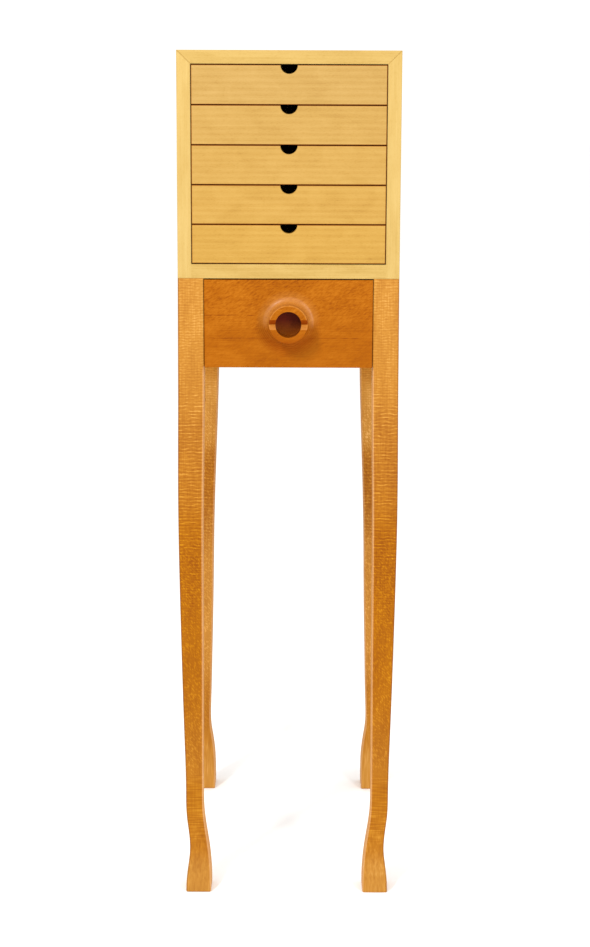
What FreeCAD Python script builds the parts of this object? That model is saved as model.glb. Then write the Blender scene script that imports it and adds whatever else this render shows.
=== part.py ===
"""Collector's cabinet: a five-drawer case on a four-legged stand that holds one deep drawer.

Millimetres. X runs to the right, Y to the back and Z up. The origin is on the floor, at the centre of
the whole cabinet's bounding box, so the case front lies at a negative Y.
"""

import FreeCAD, Part
import os
import re
import Sketcher
from FreeCAD import Vector

DRAWERS = 5

# Driving dimensions: the alias of the cell, its value in millimetres and what it measures.
DRIVING = [
    ("case_width", "340", "outside width of the case"),
    ("case_height", "344", "outside height of the case"),
    ("case_depth", "490", "outside depth of the case"),
    ("side_thickness", "21", "side boards of the case"),
    ("top_thickness", "20.5", "top board of the case"),
    ("floor_thickness", "22", "bottom board of the case"),
    ("back_thickness", "8", "back panel of the case"),
    ("rebate_width", "10", "how far the back panel laps onto each board"),
    ("panel_play", "0.3", "play around a loose panel in its rebate or groove"),
    ("arris", "0.8", "eased edge around the case front and the drawer fronts"),
    ("overrun", "5", "how far a cut runs past the face it opens"),
    ("drawer_gap", "1.6", "gap above and below each small drawer front"),
    ("drawer_side_gap", "1.2", "gap at each end of a small drawer front"),
    ("front_thickness", "14", "small drawer front"),
    ("front_lap", "6", "wood left in front of the small drawer's sides"),
    ("drawer_side", "11", "thickness of a small drawer's side"),
    ("side_drop", "8", "how far a small drawer's side stops below the top of its front"),
    ("rear_room", "36", "room between a small drawer's back end and the case back"),
    ("drawer_back", "9", "thickness of a small drawer's back"),
    ("drawer_panel", "4", "thickness of a small drawer's bottom"),
    ("panel_lift", "5", "height of the bottom panel above a small drawer's lower edge"),
    ("panel_groove", "4", "depth of the groove that holds a small drawer's bottom"),
    ("notch_radius", "13", "half-round finger notch in each small drawer front"),
    ("runner_lift", "20", "height of the runner groove above the drawer's lower edge"),
    ("runner_height", "9", "height of a side runner"),
    ("runner_play", "0.6", "play under a side runner in its groove"),
    ("runner_groove", "6", "depth of the runner groove in a drawer side"),
    ("runner_clearance", "0.4", "gap between a runner and the bottom of its groove"),
    ("shank_radius", "1.5", "runner screw shank"),
    ("head_radius", "3", "runner screw head"),
    ("head_thickness", "2.2", "runner screw head"),
    ("screw_length", "18", "runner screw under its head"),
    ("screw_inset", "60", "screws from the ends of the runners and kickers"),
    ("screw_fit", "0.15", "clearance around each screw and its head"),
    ("stand_height", "1000", "stand from the floor to the underside of the case"),
    ("leg_width", "39.5", "front leg at the top, seen from the front"),
    ("rear_leg_width", "43.5", "rear leg at the top, seen from the front"),
    ("leg_depth", "41", "all legs at the top, seen from the side"),
    ("leg_arris", "2.5", "rounding of the legs' long edges"),
    ("apron_height", "138", "side and back aprons"),
    ("apron_thickness", "20", "side and back aprons"),
    ("apron_setback", "3", "how far an apron lies behind the leg's outer face"),
    ("tenon_thickness", "8", "all tenons of the stand"),
    ("side_tenon", "20", "length of the side aprons' tenons"),
    ("cross_tenon", "16", "length of the rails' and the back apron's tenons"),
    ("upper_rail_height", "16", "upper front rail and the kickers"),
    ("lower_rail_height", "20", "lower front rail"),
    ("rail_lift", "4", "lower rail above the lower edge of the deep drawer's front"),
    ("bearer_thickness", "14", "depth of the bearers that carry the deep drawer"),
    ("bearer_reach", "14", "how far a bearer reaches under the deep drawer's side"),
    ("guide_height", "12", "lip that guides the deep drawer sideways"),
    ("kicker_reach", "15", "how far a kicker reaches over the deep drawer's side"),
    ("deep_gap", "1.8", "gap above the deep drawer's front"),
    ("deep_side_gap", "0.8", "gap at each end of the deep drawer's front"),
    ("deep_height", "136", "deep drawer front"),
    ("deep_front", "20", "thickness of the deep drawer's front beside the pull"),
    ("deep_lap", "8", "wood left in front of the deep drawer's sides"),
    ("deep_side", "12", "thickness of the deep drawer's sides"),
    ("deep_back", "12", "thickness of the deep drawer's back"),
    ("deep_panel", "6", "thickness of the deep drawer's bottom"),
    ("deep_panel_lift", "7", "bottom panel above the lower edge of the deep drawer's side"),
    ("deep_panel_groove", "5", "depth of the groove that holds the deep drawer's bottom"),
    ("deep_rear_room", "27", "room between the deep drawer's back end and the back apron"),
    ("deep_play", "3", "gap between the deep drawer's sides and the kickers"),
    ("pull_reach", "30", "how far the pull stands in front of the drawer front"),
    ("pull_radius", "29.5", "outside of the pull's tube"),
    ("pull_bore", "19.7", "radius of the pull's blind bore"),
    ("bore_depth", "26", "depth of the pull's bore"),
    ("cove_radius", "11", "cove between the pull and the drawer front"),
    ("rim_radius", "1.5", "rounding of the pull's outer rim"),
    ("pull_rise", "2.4", "centre of the pull above the centre of the drawer front"),
    ("slot_width", "15", "V groove across the end of the pull, at its mouth"),
    ("slot_depth", "6", "V groove across the end of the pull"),
    ("case_screw_radius", "2", "shank of the screws that hold the case on the stand"),
    ("case_head_radius", "4.2", "heads of those screws"),
    ("case_head_thickness", "2.6", "heads of those screws"),
    ("case_head_recess", "4", "depth at which those heads sit in the kickers"),
    ("case_screw_length", "26", "those screws under the head"),
    ("case_screw_inset", "8.2", "those screws from the side aprons"),
]

# A front leg seen from the front: share of the stand's height, then the outer and inner edges as
# shares of the leg's width, measured inwards from the case side.
FRONT_LEG_FACE_SHARES = [
    (0.862, -0.010, 1.000),
    (0.650, -0.050, 0.934),
    (0.430, 0.005, 0.896),
    (0.250, 0.100, 0.866),
    (0.162, 0.144, 0.856),
    (0.118, 0.172, 0.891),
    (0.066, 0.309, 1.089),
    (0.028, 0.205, 1.182),
    (0.000, 0.172, 1.195),
]

# A rear leg seen from the front, in the same shares. It is a little slimmer and stands a little wider.
REAR_LEG_FACE_SHARES = [
    (0.862, -0.010, 1.000),
    (0.690, -0.040, 0.913),
    (0.510, -0.046, 0.777),
    (0.380, -0.020, 0.735),
    (0.250, 0.030, 0.674),
    (0.162, 0.046, 0.622),
    (0.125, 0.050, 0.625),
    (0.100, 0.080, 0.700),
    (0.073, 0.115, 0.768),
    (0.036, 0.080, 0.792),
    (0.000, 0.030, 0.785),
]

# How far a leg's knee reaches past the case, as a share of the leg's depth.
KNEE_SHARE = 0.090

# Any leg seen from the side: share of the stand's height, then the outer and inner edges as shares of
# the leg's depth, measured from the case front (or, on a rear leg, from the case back).
LEG_SIDE_SHARES = [
    (0.862, -KNEE_SHARE, 1.000),
    (0.650, 0.000, 0.963),
    (0.500, 0.220, 1.120),
    (0.350, 0.440, 1.270),
    (0.250, 0.560, 1.330),
    (0.162, 0.610, 1.317),
    (0.118, 0.585, 1.290),
    (0.066, 0.330, 1.170),
    (0.028, 0.035, 1.100),
    (0.012, -0.050, 1.080),
    (0.000, -0.073, 1.073),
]

# Two lengths in millimetres that differ by less than this are the same.
NEAR = 1e-6

# A rounded edge of a leg rises by more than this share of the stand's height.
LONG_EDGE_SHARE = 0.1

doc = FreeCAD.newDocument("cabinet")
sheet = doc.addObject("Spreadsheet::Sheet", "sizes")
for row, (alias, value, meaning) in enumerate(DRIVING, start=1):
    sheet.set(f"A{row}", meaning)
    sheet.set(f"B{row}", value)
    sheet.setAlias(f"B{row}", alias)
doc.recompute()

ALIASES = {alias for alias, value, meaning in DRIVING}

# Places and sizes that several pieces share, worked out from the driving dimensions.
KNEE_REACH = f"({KNEE_SHARE} * leg_depth)"
FRONT_Y = f"(pull_reach - (case_depth + {KNEE_REACH} + pull_reach) / 2)"
INNER_WIDTH = "(case_width - 2 * side_thickness)"
FRONT_HEIGHT = (
    f"((case_height - top_thickness - floor_thickness - {DRAWERS + 1} * drawer_gap) / {DRAWERS})"
)
FRONT_WIDTH = f"({INNER_WIDTH} - 2 * drawer_side_gap)"
SIDE_HEIGHT = f"({FRONT_HEIGHT} - side_drop)"
RUNNER_THICKNESS = "(drawer_side_gap + runner_groove - runner_clearance)"
RUNNER_LENGTH = "(case_depth - front_lap - back_thickness)"
DRAWER_LENGTH = "(case_depth - back_thickness - rear_room)"
OPENING = "(case_width - 2 * leg_width)"
DEEP_WIDTH = f"({OPENING} - 2 * deep_side_gap)"
DEEP_Z = "(stand_height - deep_gap - deep_height)"
BEARING_LIFT = "(rail_lift + lower_rail_height)"
BEARING_Z = f"({DEEP_Z} + {BEARING_LIFT})"
KICKER_Z = "(stand_height - upper_rail_height)"
DEEP_SIDE_HEIGHT = f"({KICKER_Z} - {BEARING_Z} - deep_play)"
DEEP_LENGTH = "(case_depth - apron_setback - apron_thickness - deep_rear_room)"
APRON_Z = "(stand_height - apron_height)"
APRON_INNER_X = "(case_width / 2 - apron_setback - apron_thickness)"
TENON_INSET = "((apron_thickness - tenon_thickness) / 2)"
# The front rails fill the depth between the deep drawer's front and the back of the legs.
RAIL_THICKNESS = "(leg_depth - deep_front)"
RAIL_TENON_INSET = f"(({RAIL_THICKNESS} - tenon_thickness) / 2)"
LEG_GAP = "(case_depth - 2 * leg_depth)"
PULL_RISE = "(deep_height / 2 + pull_rise)"
# Every hole runs past its screw's tip by the clearance around the screw.
PILOT_DEPTH = f"(screw_length - {RUNNER_THICKNESS} + head_thickness + screw_fit)"
CASE_PILOT_DEPTH = "(case_screw_length + case_head_recess - upper_rail_height + screw_fit)"
CASE_SCREW_X = f"({APRON_INNER_X} - case_screw_inset)"
CASE_SCREW_Y = ["(leg_depth + screw_inset)", "(case_depth - leg_depth - screw_inset)"]
CASE_SCREWS = [(f"{sign}{CASE_SCREW_X}", y) for sign in ("-", "") for y in CASE_SCREW_Y]


def cell(word):
    """An alias written as a cell of the sheet; any other word stays as it is."""
    return f"sizes.{word}" if word in ALIASES else word


def bind(item, name, expression):
    """Tie a property to the sheet. The expression names the sheet's cells by their aliases."""
    item.setExpression(name, re.sub(r"[a-z_]+", lambda found: cell(found.group()), expression))


def length_of(expression):
    """The present value of an expression, in millimetres."""
    return float(sheet.evalExpression(expression))


def place(item, x="0", y="0", z="0"):
    for axis, expression in (("x", x), ("y", y), ("z", z)):
        bind(item, f"Placement.Base.{axis}", expression)


def sketch_on(body, plane, offset):
    """An empty sketch on one of the body's own planes, moved along +X, +Y or +Z by the offset."""
    sketch = body.newObject("Sketcher::SketchObject", f"{body.Name}_sketch")
    origin_plane = [item for item in body.Origin.OriginFeatures if item.Role == f"{plane}_Plane"][0]
    sketch.AttachmentSupport = [(origin_plane, "")]
    sketch.MapMode = "FlatFace"
    # The XZ plane faces -Y, so an offset towards +Y is negative there.
    bind(sketch, "AttachmentOffset.Base.z", f"-({offset})" if plane == "XZ" else offset)
    return sketch


def hold_point(sketch, geometry, point, corner):
    """Hold a point of the sketch by its two bound distances from the sketch's origin."""
    for kind, expression in zip(("DistanceX", "DistanceY"), corner):
        index = sketch.addConstraint(Sketcher.Constraint(kind, -1, 1, geometry, point, 1.0))
        bind(sketch, f"Constraints[{index}]", expression)


def outline(body, plane, corners, offset="0"):
    """A closed outline of straight edges, each corner a pair of expressions."""
    sketch = sketch_on(body, plane, offset)
    points = [Vector(length_of(across), length_of(up), 0) for across, up in corners]
    count = len(points)
    for index in range(count):
        line = Part.LineSegment(points[index], points[(index + 1) % count])
        sketch.addGeometry(line, False)
    for index in range(count):
        following = (index + 1) % count
        sketch.addConstraint(Sketcher.Constraint("Coincident", index, 2, following, 1))
    for index, corner in enumerate(corners):
        hold_point(sketch, index, 1, corner)
    return sketch


def rounds(body, plane, centres, radius, offset="0"):
    """Circles of one radius about the centres."""
    sketch = sketch_on(body, plane, offset)
    for index, (across, up) in enumerate(centres):
        centre = Vector(length_of(across), length_of(up), 0)
        circle = Part.Circle(centre, Vector(0, 0, 1), length_of(radius))
        sketch.addGeometry(circle, False)
        hold_point(sketch, index, 3, (across, up))
        number = sketch.addConstraint(Sketcher.Constraint("Radius", index, length_of(radius)))
        bind(sketch, f"Constraints[{number}]", radius)
    return sketch


def box_corners(x0, x1, y0, y1):
    return [(x0, y0), (x1, y0), (x1, y1), (x0, y1)]


def pad(body, sketch, length, backwards=False):
    """Grow the outline by the length towards +X, +Y or +Z, or the other way."""
    feature = body.newObject("PartDesign::Pad", f"{body.Name}_pad")
    feature.Profile = sketch
    faces_back = "XZ" in sketch.AttachmentSupport[0][0].Role
    feature.Reversed = faces_back != backwards
    bind(feature, "Length", length)
    sketch.Visibility = False
    return feature


def cut(body, sketch, length):
    """Cut the outline out of the body by the length towards +X, +Y or +Z."""
    doc.recompute()
    before = body.Shape.Volume
    feature = body.newObject("PartDesign::Pocket", f"{body.Name}_cut")
    feature.Profile = sketch
    feature.Reversed = "XZ" not in sketch.AttachmentSupport[0][0].Role
    bind(feature, "Length", length)
    doc.recompute()
    if body.Shape.Volume >= before:
        raise RuntimeError(f"a cut in {body.Label} removes nothing")
    return feature


def new_body(label):
    body = doc.addObject("PartDesign::Body", label)
    body.Label = label
    return body


def edges_at(shape, y, kinds):
    """The edges of the given kinds of curve that lie in the plane of the given Y, with their names."""
    found = []
    for number, edge in enumerate(shape.Edges, start=1):
        bounds = edge.BoundBox
        if max(abs(bounds.YMin - y), abs(bounds.YMax - y)) < NEAR and isinstance(edge.Curve, kinds):
            found.append((f"Edge{number}", edge))
    return found


def stands_at(edge, x):
    """Whether the whole edge lies at the given X."""
    return max(abs(edge.BoundBox.XMin - x), abs(edge.BoundBox.XMax - x)) < NEAR


def ease_front(body, kinds=(Part.Line, Part.Circle), sharp=()):
    """Chamfer the edges around the front face, which lies at the body's own Y of zero, all but the
    upright ones at the sharp places along X."""
    doc.recompute()
    tip = body.Tip
    places = [length_of(x) for x in sharp]
    found = edges_at(tip.Shape, 0, kinds)
    eased = [name for name, edge in found if not any(stands_at(edge, x) for x in places)]
    feature = body.newObject("PartDesign::Chamfer", f"{body.Name}_ease")
    feature.Base = (tip, eased)
    bind(feature, "Size", "arris")
    return feature


pieces = []


def keep(piece):
    pieces.append(piece)
    return piece


def case_side(side):
    """A side board, mitred to the top and rebated for the back. Its inner face takes the runners, and
    its inner front edge is eased above the floor only, so the two boards meet flush."""
    body = new_body(f"case_side_{side}")
    inner_height = "case_height - top_thickness"
    if side == "left":
        inner = "side_thickness"
        beyond, before = "side_thickness + overrun", "side_thickness - arris - overrun"
        heights = ("case_height", inner_height)
        rebate = ("side_thickness - rebate_width", "side_thickness + overrun")
        drill = "side_thickness"
        x = "-case_width / 2"
    else:
        inner = "0"
        beyond, before = "-overrun", "arris + overrun"
        heights = (inner_height, "case_height")
        rebate = ("-overrun", "rebate_width")
        drill = PILOT_DEPTH
        x = "case_width / 2 - side_thickness"
    corners = [("0", "0"), ("side_thickness", "0"), ("side_thickness", heights[1]), ("0", heights[0])]
    pad(body, outline(body, "XZ", corners), "case_depth")
    low = "floor_thickness - rebate_width"
    hollow = box_corners(*rebate, low, "case_height + overrun")
    start = "case_depth - back_thickness"
    cut(body, outline(body, "XZ", hollow, start), "back_thickness + overrun")
    centres = [(y, z) for row in range(DRAWERS) for y, z in runner_screw_places(row)]
    offset = f"{drill} - {PILOT_DEPTH}"
    cut(body, rounds(body, "YZ", centres, "shank_radius + screw_fit", offset), PILOT_DEPTH)
    ease_front(body, sharp=[inner])
    corner = [(before, "-overrun"), (beyond, "-overrun"), (beyond, "arris + overrun")]
    eased_height = f"{inner_height} + arris - floor_thickness"
    cut(body, outline(body, "XY", corner, "floor_thickness"), eased_height)
    place(body, x, FRONT_Y, "stand_height")
    return keep(body)


def case_top():
    body = new_body("case_top")
    corners = [
        ("side_thickness", "0"),
        ("case_width - side_thickness", "0"),
        ("case_width", "top_thickness"),
        ("0", "top_thickness"),
    ]
    pad(body, outline(body, "XZ", corners), "case_depth")
    reach = "side_thickness - rebate_width"
    hollow = box_corners(reach, f"case_width - ({reach})", "-overrun", "rebate_width")
    start = "case_depth - back_thickness"
    cut(body, outline(body, "XZ", hollow, start), "back_thickness + overrun")
    ease_front(body)
    place(body, "-case_width / 2", FRONT_Y, "stand_height + case_height - top_thickness")
    return keep(body)


def case_floor():
    """The bottom board, butted between the sides and drilled from below for the case screws."""
    body = new_body("case_floor")
    pad(body, outline(body, "XZ", box_corners("0", INNER_WIDTH, "0", "floor_thickness")), "case_depth")
    low = "floor_thickness - rebate_width"
    hollow = box_corners("-overrun", f"{INNER_WIDTH} + overrun", low, "floor_thickness + overrun")
    start = "case_depth - back_thickness"
    cut(body, outline(body, "XZ", hollow, start), "back_thickness + overrun")
    shift = f"{INNER_WIDTH} / 2"
    centres = [(f"{x} + {shift}", y) for x, y in CASE_SCREWS]
    cut(body, rounds(body, "XY", centres, "case_screw_radius + screw_fit"), CASE_PILOT_DEPTH)
    ease_front(body, sharp=["0", INNER_WIDTH])
    place(body, f"-{INNER_WIDTH} / 2", FRONT_Y, "stand_height")
    return keep(body)


def case_back():
    body = new_body("case_back")
    lap = "(rebate_width - panel_play)"
    height = f"case_height - floor_thickness - top_thickness + 2 * {lap}"
    corners = box_corners("0", f"{INNER_WIDTH} + 2 * {lap}", "0", height)
    pad(body, outline(body, "XZ", corners), "back_thickness")
    y = f"{FRONT_Y} + case_depth - back_thickness"
    place(body, f"-{INNER_WIDTH} / 2 - {lap}", y, f"stand_height + floor_thickness - {lap}")
    return keep(body)


def drawer_z(row):
    """Lower edge of a small drawer above the underside of the case. Row 0 is the top one."""
    below = DRAWERS - 1 - row
    return f"(floor_thickness + drawer_gap + {below} * ({FRONT_HEIGHT} + drawer_gap))"


def runner_screw_places(row):
    """Y from the case front and Z from the case's underside, of the two screws of one runner."""
    height = f"({drawer_z(row)} + runner_lift + runner_play + runner_height / 2)"
    ends = ["(front_lap + screw_inset)", f"(front_lap + {RUNNER_LENGTH} - screw_inset)"]
    return [(y, height) for y in ends]


def runner(row, side):
    """A hardwood strip, screwed to the case side, that fits the groove of a drawer side."""
    body = new_body(f"runner_{side}_{row + 1}")
    pad(body, outline(body, "YZ", box_corners("0", RUNNER_LENGTH, "0", "runner_height")), RUNNER_THICKNESS)
    middle = "runner_height / 2"
    centres = [("screw_inset", middle), (f"{RUNNER_LENGTH} - screw_inset", middle)]
    through = f"{RUNNER_THICKNESS} + 2 * overrun"
    cut(body, rounds(body, "YZ", centres, "shank_radius + screw_fit", "-overrun"), through)
    sunk = "-overrun" if side == "right" else f"{RUNNER_THICKNESS} - head_thickness"
    heads = rounds(body, "YZ", centres, "head_radius + screw_fit", sunk)
    cut(body, heads, "head_thickness + overrun")
    x = f"-{INNER_WIDTH} / 2" if side == "left" else f"{INNER_WIDTH} / 2 - {RUNNER_THICKNESS}"
    z = f"stand_height + {drawer_z(row)} + runner_lift + runner_play"
    place(body, x, f"{FRONT_Y} + front_lap", z)
    return keep(body)


def small_drawer(row):
    """One small drawer: a notched front, grooved sides, a back and a bottom panel in grooves."""
    name = f"drawer_{row + 1}"
    left_x = f"-{FRONT_WIDTH} / 2"
    low_z = f"stand_height + {drawer_z(row)}"
    slot_height = "(drawer_panel + panel_play)"

    front = new_body(f"{name}_front")
    side_line = f"{FRONT_WIDTH} - drawer_side"
    corners = [
        ("0", "0"),
        (FRONT_WIDTH, "0"),
        (FRONT_WIDTH, "front_lap"),
        (side_line, "front_lap"),
        (side_line, "front_thickness"),
        ("drawer_side", "front_thickness"),
        ("drawer_side", "front_lap"),
        ("0", "front_lap"),
    ]
    pad(front, outline(front, "XY", corners), FRONT_HEIGHT)
    slot = box_corners("drawer_side", side_line, "panel_lift", f"panel_lift + {slot_height}")
    start = "front_thickness - panel_groove"
    cut(front, outline(front, "XZ", slot, start), "panel_groove + overrun")
    notch = rounds(front, "XZ", [(f"{FRONT_WIDTH} / 2", FRONT_HEIGHT)], "notch_radius", "-overrun")
    cut(front, notch, "front_thickness + 2 * overrun")
    ease_front(front)
    place(front, left_x, FRONT_Y, low_z)
    keep(front)

    groove_top = "runner_lift + runner_height + runner_play"
    for side in ("left", "right"):
        board = new_body(f"{name}_side_{side}")
        corners = [
            ("0", "0"),
            ("drawer_side", "0"),
            ("drawer_side", "panel_lift"),
            ("drawer_side - panel_groove", "panel_lift"),
            ("drawer_side - panel_groove", f"panel_lift + {slot_height}"),
            ("drawer_side", f"panel_lift + {slot_height}"),
            ("drawer_side", SIDE_HEIGHT),
            ("0", SIDE_HEIGHT),
            ("0", groove_top),
            ("runner_groove", groove_top),
            ("runner_groove", "runner_lift"),
            ("0", "runner_lift"),
        ]
        if side == "right":
            corners = [(f"drawer_side - ({across})", up) for across, up in corners]
        pad(board, outline(board, "XZ", corners), f"{DRAWER_LENGTH} - front_lap")
        x = left_x if side == "left" else f"{FRONT_WIDTH} / 2 - drawer_side"
        place(board, x, f"{FRONT_Y} + front_lap", low_z)
        keep(board)

    inside = f"({FRONT_WIDTH} - 2 * drawer_side)"
    back = new_body(f"{name}_back")
    height = f"{SIDE_HEIGHT} - panel_lift - drawer_panel"
    pad(back, outline(back, "XZ", box_corners("0", inside, "0", height)), "drawer_back")
    y = f"{FRONT_Y} + {DRAWER_LENGTH} - drawer_back"
    place(back, f"-{inside} / 2", y, f"{low_z} + panel_lift + drawer_panel")
    keep(back)

    bottom = new_body(f"{name}_bottom")
    lap = "(panel_groove - panel_play)"
    width = f"{inside} + 2 * {lap}"
    length = f"{DRAWER_LENGTH} - front_thickness + {lap}"
    pad(bottom, outline(bottom, "XY", box_corners("0", width, "0", length)), "drawer_panel")
    y = f"{FRONT_Y} + front_thickness - {lap}"
    place(bottom, f"-{inside} / 2 - {lap}", y, f"{low_z} + panel_lift")
    keep(bottom)


def leg_edge(heights, distances, across):
    """A smooth sawn edge through the points, upright at both ends."""
    points = [across * distance + Vector(0, 0, height) for distance, height in zip(distances, heights)]
    curve = Part.BSplineCurve()
    curve.interpolate(Points=points, InitialTangent=Vector(0, 0, -1), FinalTangent=Vector(0, 0, -1))
    return curve.toShape(), points[0], points[-1]


def leg_template(label, shares, size, start, direction, across):
    """The outline that a leg is sawn to, seen along one axis, with a straight post at its top."""
    height = length_of("stand_height")
    heights = [share[0] * height for share in shares]
    outer = [start + direction * share[1] * size for share in shares]
    inner = [start + direction * share[2] * size for share in shares]
    outer_edge, outer_high, outer_low = leg_edge(heights, outer, across)
    inner_edge, inner_high, inner_low = leg_edge(heights, inner, across)
    top_outer = across * start + Vector(0, 0, height)
    top_inner = across * (start + direction * size) + Vector(0, 0, height)
    edges = [
        outer_edge,
        Part.LineSegment(outer_low, inner_low).toShape(),
        inner_edge,
        Part.LineSegment(inner_high, top_inner).toShape(),
        Part.LineSegment(top_inner, top_outer).toShape(),
        Part.LineSegment(top_outer, outer_high).toShape(),
    ]
    template = doc.addObject("Part::Feature", label)
    template.Shape = Part.Face(Part.Wire(Part.__sortEdges__(edges)))
    return template


def sawn_blank(template, label, direction, length):
    blank = doc.addObject("Part::Extrusion", label)
    blank.Base = template
    blank.DirMode = "Custom"
    blank.Dir = direction
    blank.Solid = True
    blank.Symmetric = True
    bind(blank, "LengthFwd", length)
    return blank


def mortise(label, x, y, z, width, depth, height):
    block = doc.addObject("Part::Box", label)
    bind(block, "Length", width)
    bind(block, "Width", depth)
    bind(block, "Height", height)
    place(block, x, y, z)
    return block


def leg(end, side):
    """A leg sawn to one template from the front and to another from the side, then rounded."""
    label = f"leg_{end}_{side}"
    sign = 1 if side == "right" else -1
    face_shares = FRONT_LEG_FACE_SHARES if end == "front" else REAR_LEG_FACE_SHARES
    width = "leg_width" if end == "front" else "rear_leg_width"
    half = length_of("case_width / 2")
    face = leg_template(
        f"{label}_face", face_shares, length_of(width), sign * half, -sign, Vector(1, 0, 0)
    )
    depth = length_of("leg_depth")
    back = length_of("case_depth")
    if end == "front":
        profile = leg_template(f"{label}_profile", LEG_SIDE_SHARES, depth, 0, 1, Vector(0, 1, 0))
    else:
        profile = leg_template(f"{label}_profile", LEG_SIDE_SHARES, depth, back, -1, Vector(0, 1, 0))
    sawn = doc.addObject("Part::Common", f"{label}_sawn")
    sawn.Base = sawn_blank(face, f"{label}_across", Vector(0, 1, 0), "3 * case_depth")
    sawn.Tool = sawn_blank(profile, f"{label}_along", Vector(1, 0, 0), "2 * case_width")
    doc.recompute()
    rounded = doc.addObject("Part::Fillet", f"{label}_rounded")
    rounded.Base = sawn
    radius = length_of("leg_arris")
    longest = LONG_EDGE_SHARE * length_of("stand_height")
    rounded.Edges = [
        (number, radius, radius)
        for number, edge in enumerate(sawn.Shape.Edges, start=1)
        if edge.BoundBox.ZLength > longest
    ]
    tenon_x = f"{APRON_INNER_X} + {TENON_INSET}"
    cross_x = f"case_width / 2 - {width}"
    if side == "left":
        tenon_x = f"-({tenon_x}) - tenon_thickness"
        cross_x = f"-({cross_x}) - cross_tenon"
    tall = "apron_height + overrun"
    if end == "front":
        slots = [
            (tenon_x, "leg_depth - side_tenon", APRON_Z, "tenon_thickness", "side_tenon + overrun", tall)
        ]
        rail_y = f"deep_front + {RAIL_TENON_INSET}"
        low = f"{DEEP_Z} + rail_lift"
        high = "upper_rail_height + overrun"
        slots.append((cross_x, rail_y, KICKER_Z, "cross_tenon", "tenon_thickness", high))
        slots.append((cross_x, rail_y, low, "cross_tenon", "tenon_thickness", "lower_rail_height"))
    else:
        tenon_y = "case_depth - leg_depth - overrun"
        slots = [(tenon_x, tenon_y, APRON_Z, "tenon_thickness", "side_tenon + overrun", tall)]
        back_y = f"case_depth - apron_setback - apron_thickness + {TENON_INSET}"
        slots.append((cross_x, back_y, APRON_Z, "cross_tenon", "tenon_thickness", tall))
    blocks = [mortise(f"{label}_mortise_{n}", *slot) for n, slot in enumerate(slots, start=1)]
    tools = doc.addObject("Part::MultiFuse", f"{label}_mortises")
    tools.Shapes = blocks
    piece = doc.addObject("Part::Cut", label)
    piece.Base = rounded
    piece.Tool = tools
    piece.Label = label
    place(piece, "0", FRONT_Y, "0")
    return keep(piece)


def tongued(label, length, thickness, inset, tenon, height, along):
    """A board with a full-height tenon at each end, drawn in plan along X or Y."""
    body = new_body(label)
    shoulder = f"({length} + {tenon})"
    end = f"({length} + 2 * {tenon})"
    far = f"({thickness} - {inset})"
    corners = [
        ("0", inset),
        (tenon, inset),
        (tenon, "0"),
        (shoulder, "0"),
        (shoulder, inset),
        (end, inset),
        (end, far),
        (shoulder, far),
        (shoulder, thickness),
        (tenon, thickness),
        (tenon, far),
        ("0", far),
    ]
    if along == "Y":
        corners = [(up, across) for across, up in corners]
    pad(body, outline(body, "XY", corners), height)
    return keep(body)


def stand_frame():
    """The aprons and rails that tie the legs together."""
    for side in ("left", "right"):
        name = f"side_apron_{side}"
        apron = tongued(name, LEG_GAP, "apron_thickness", TENON_INSET, "side_tenon", "apron_height", "Y")
        x = APRON_INNER_X if side == "right" else f"-{APRON_INNER_X} - apron_thickness"
        place(apron, x, f"{FRONT_Y} + leg_depth - side_tenon", APRON_Z)
    rear_run = "(case_width - 2 * rear_leg_width)"
    apron = tongued(
        "back_apron", rear_run, "apron_thickness", TENON_INSET, "cross_tenon", "apron_height", "X"
    )
    y = f"{FRONT_Y} + case_depth - apron_setback - apron_thickness"
    place(apron, f"-{rear_run} / 2 - cross_tenon", y, APRON_Z)
    for name, height, z in (
        ("upper_front_rail", "upper_rail_height", KICKER_Z),
        ("lower_front_rail", "lower_rail_height", f"{DEEP_Z} + rail_lift"),
    ):
        rail = tongued(name, OPENING, RAIL_THICKNESS, RAIL_TENON_INSET, "cross_tenon", height, "X")
        place(rail, f"-{OPENING} / 2 - cross_tenon", f"{FRONT_Y} + deep_front", z)


def bearer(side):
    """The bearer under one side of the deep drawer, with the lip that guides it sideways."""
    body = new_body(f"bearer_{side}")
    lip = f"({APRON_INNER_X} - {OPENING} / 2)"
    reach = f"({lip} + bearer_reach)"
    corners = [
        ("0", "0"),
        (reach, "0"),
        (reach, "bearer_thickness + guide_height"),
        (f"{reach} - {lip}", "bearer_thickness + guide_height"),
        (f"{reach} - {lip}", "bearer_thickness"),
        ("0", "bearer_thickness"),
    ]
    if side == "left":
        corners = [(f"{reach} - ({across})", up) for across, up in corners]
    pad(body, outline(body, "XZ", corners), LEG_GAP)
    x = f"{APRON_INNER_X} - {reach}" if side == "right" else f"-{APRON_INNER_X}"
    place(body, x, f"{FRONT_Y} + leg_depth", f"{BEARING_Z} - bearer_thickness")
    return keep(body)


def kicker(side):
    """The strip over one side of the deep drawer. The case is screwed down through it."""
    body = new_body(f"kicker_{side}")
    width = f"({APRON_INNER_X} - {OPENING} / 2 + kicker_reach)"
    pad(body, outline(body, "XY", box_corners("0", width, "0", LEG_GAP)), "upper_rail_height")
    x = f"({APRON_INNER_X} - {width})" if side == "right" else f"(-{APRON_INNER_X})"
    sign = "" if side == "right" else "-"
    centres = [(f"{sign}{CASE_SCREW_X} - {x}", f"{y} - leg_depth") for y in CASE_SCREW_Y]
    shanks = rounds(body, "XY", centres, "case_screw_radius + screw_fit", "-overrun")
    cut(body, shanks, "upper_rail_height + 2 * overrun")
    heads = rounds(body, "XY", centres, "case_head_radius + screw_fit", "-overrun")
    cut(body, heads, "case_head_recess + overrun")
    place(body, x, f"{FRONT_Y} + leg_depth", KICKER_Z)
    return keep(body)


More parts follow.
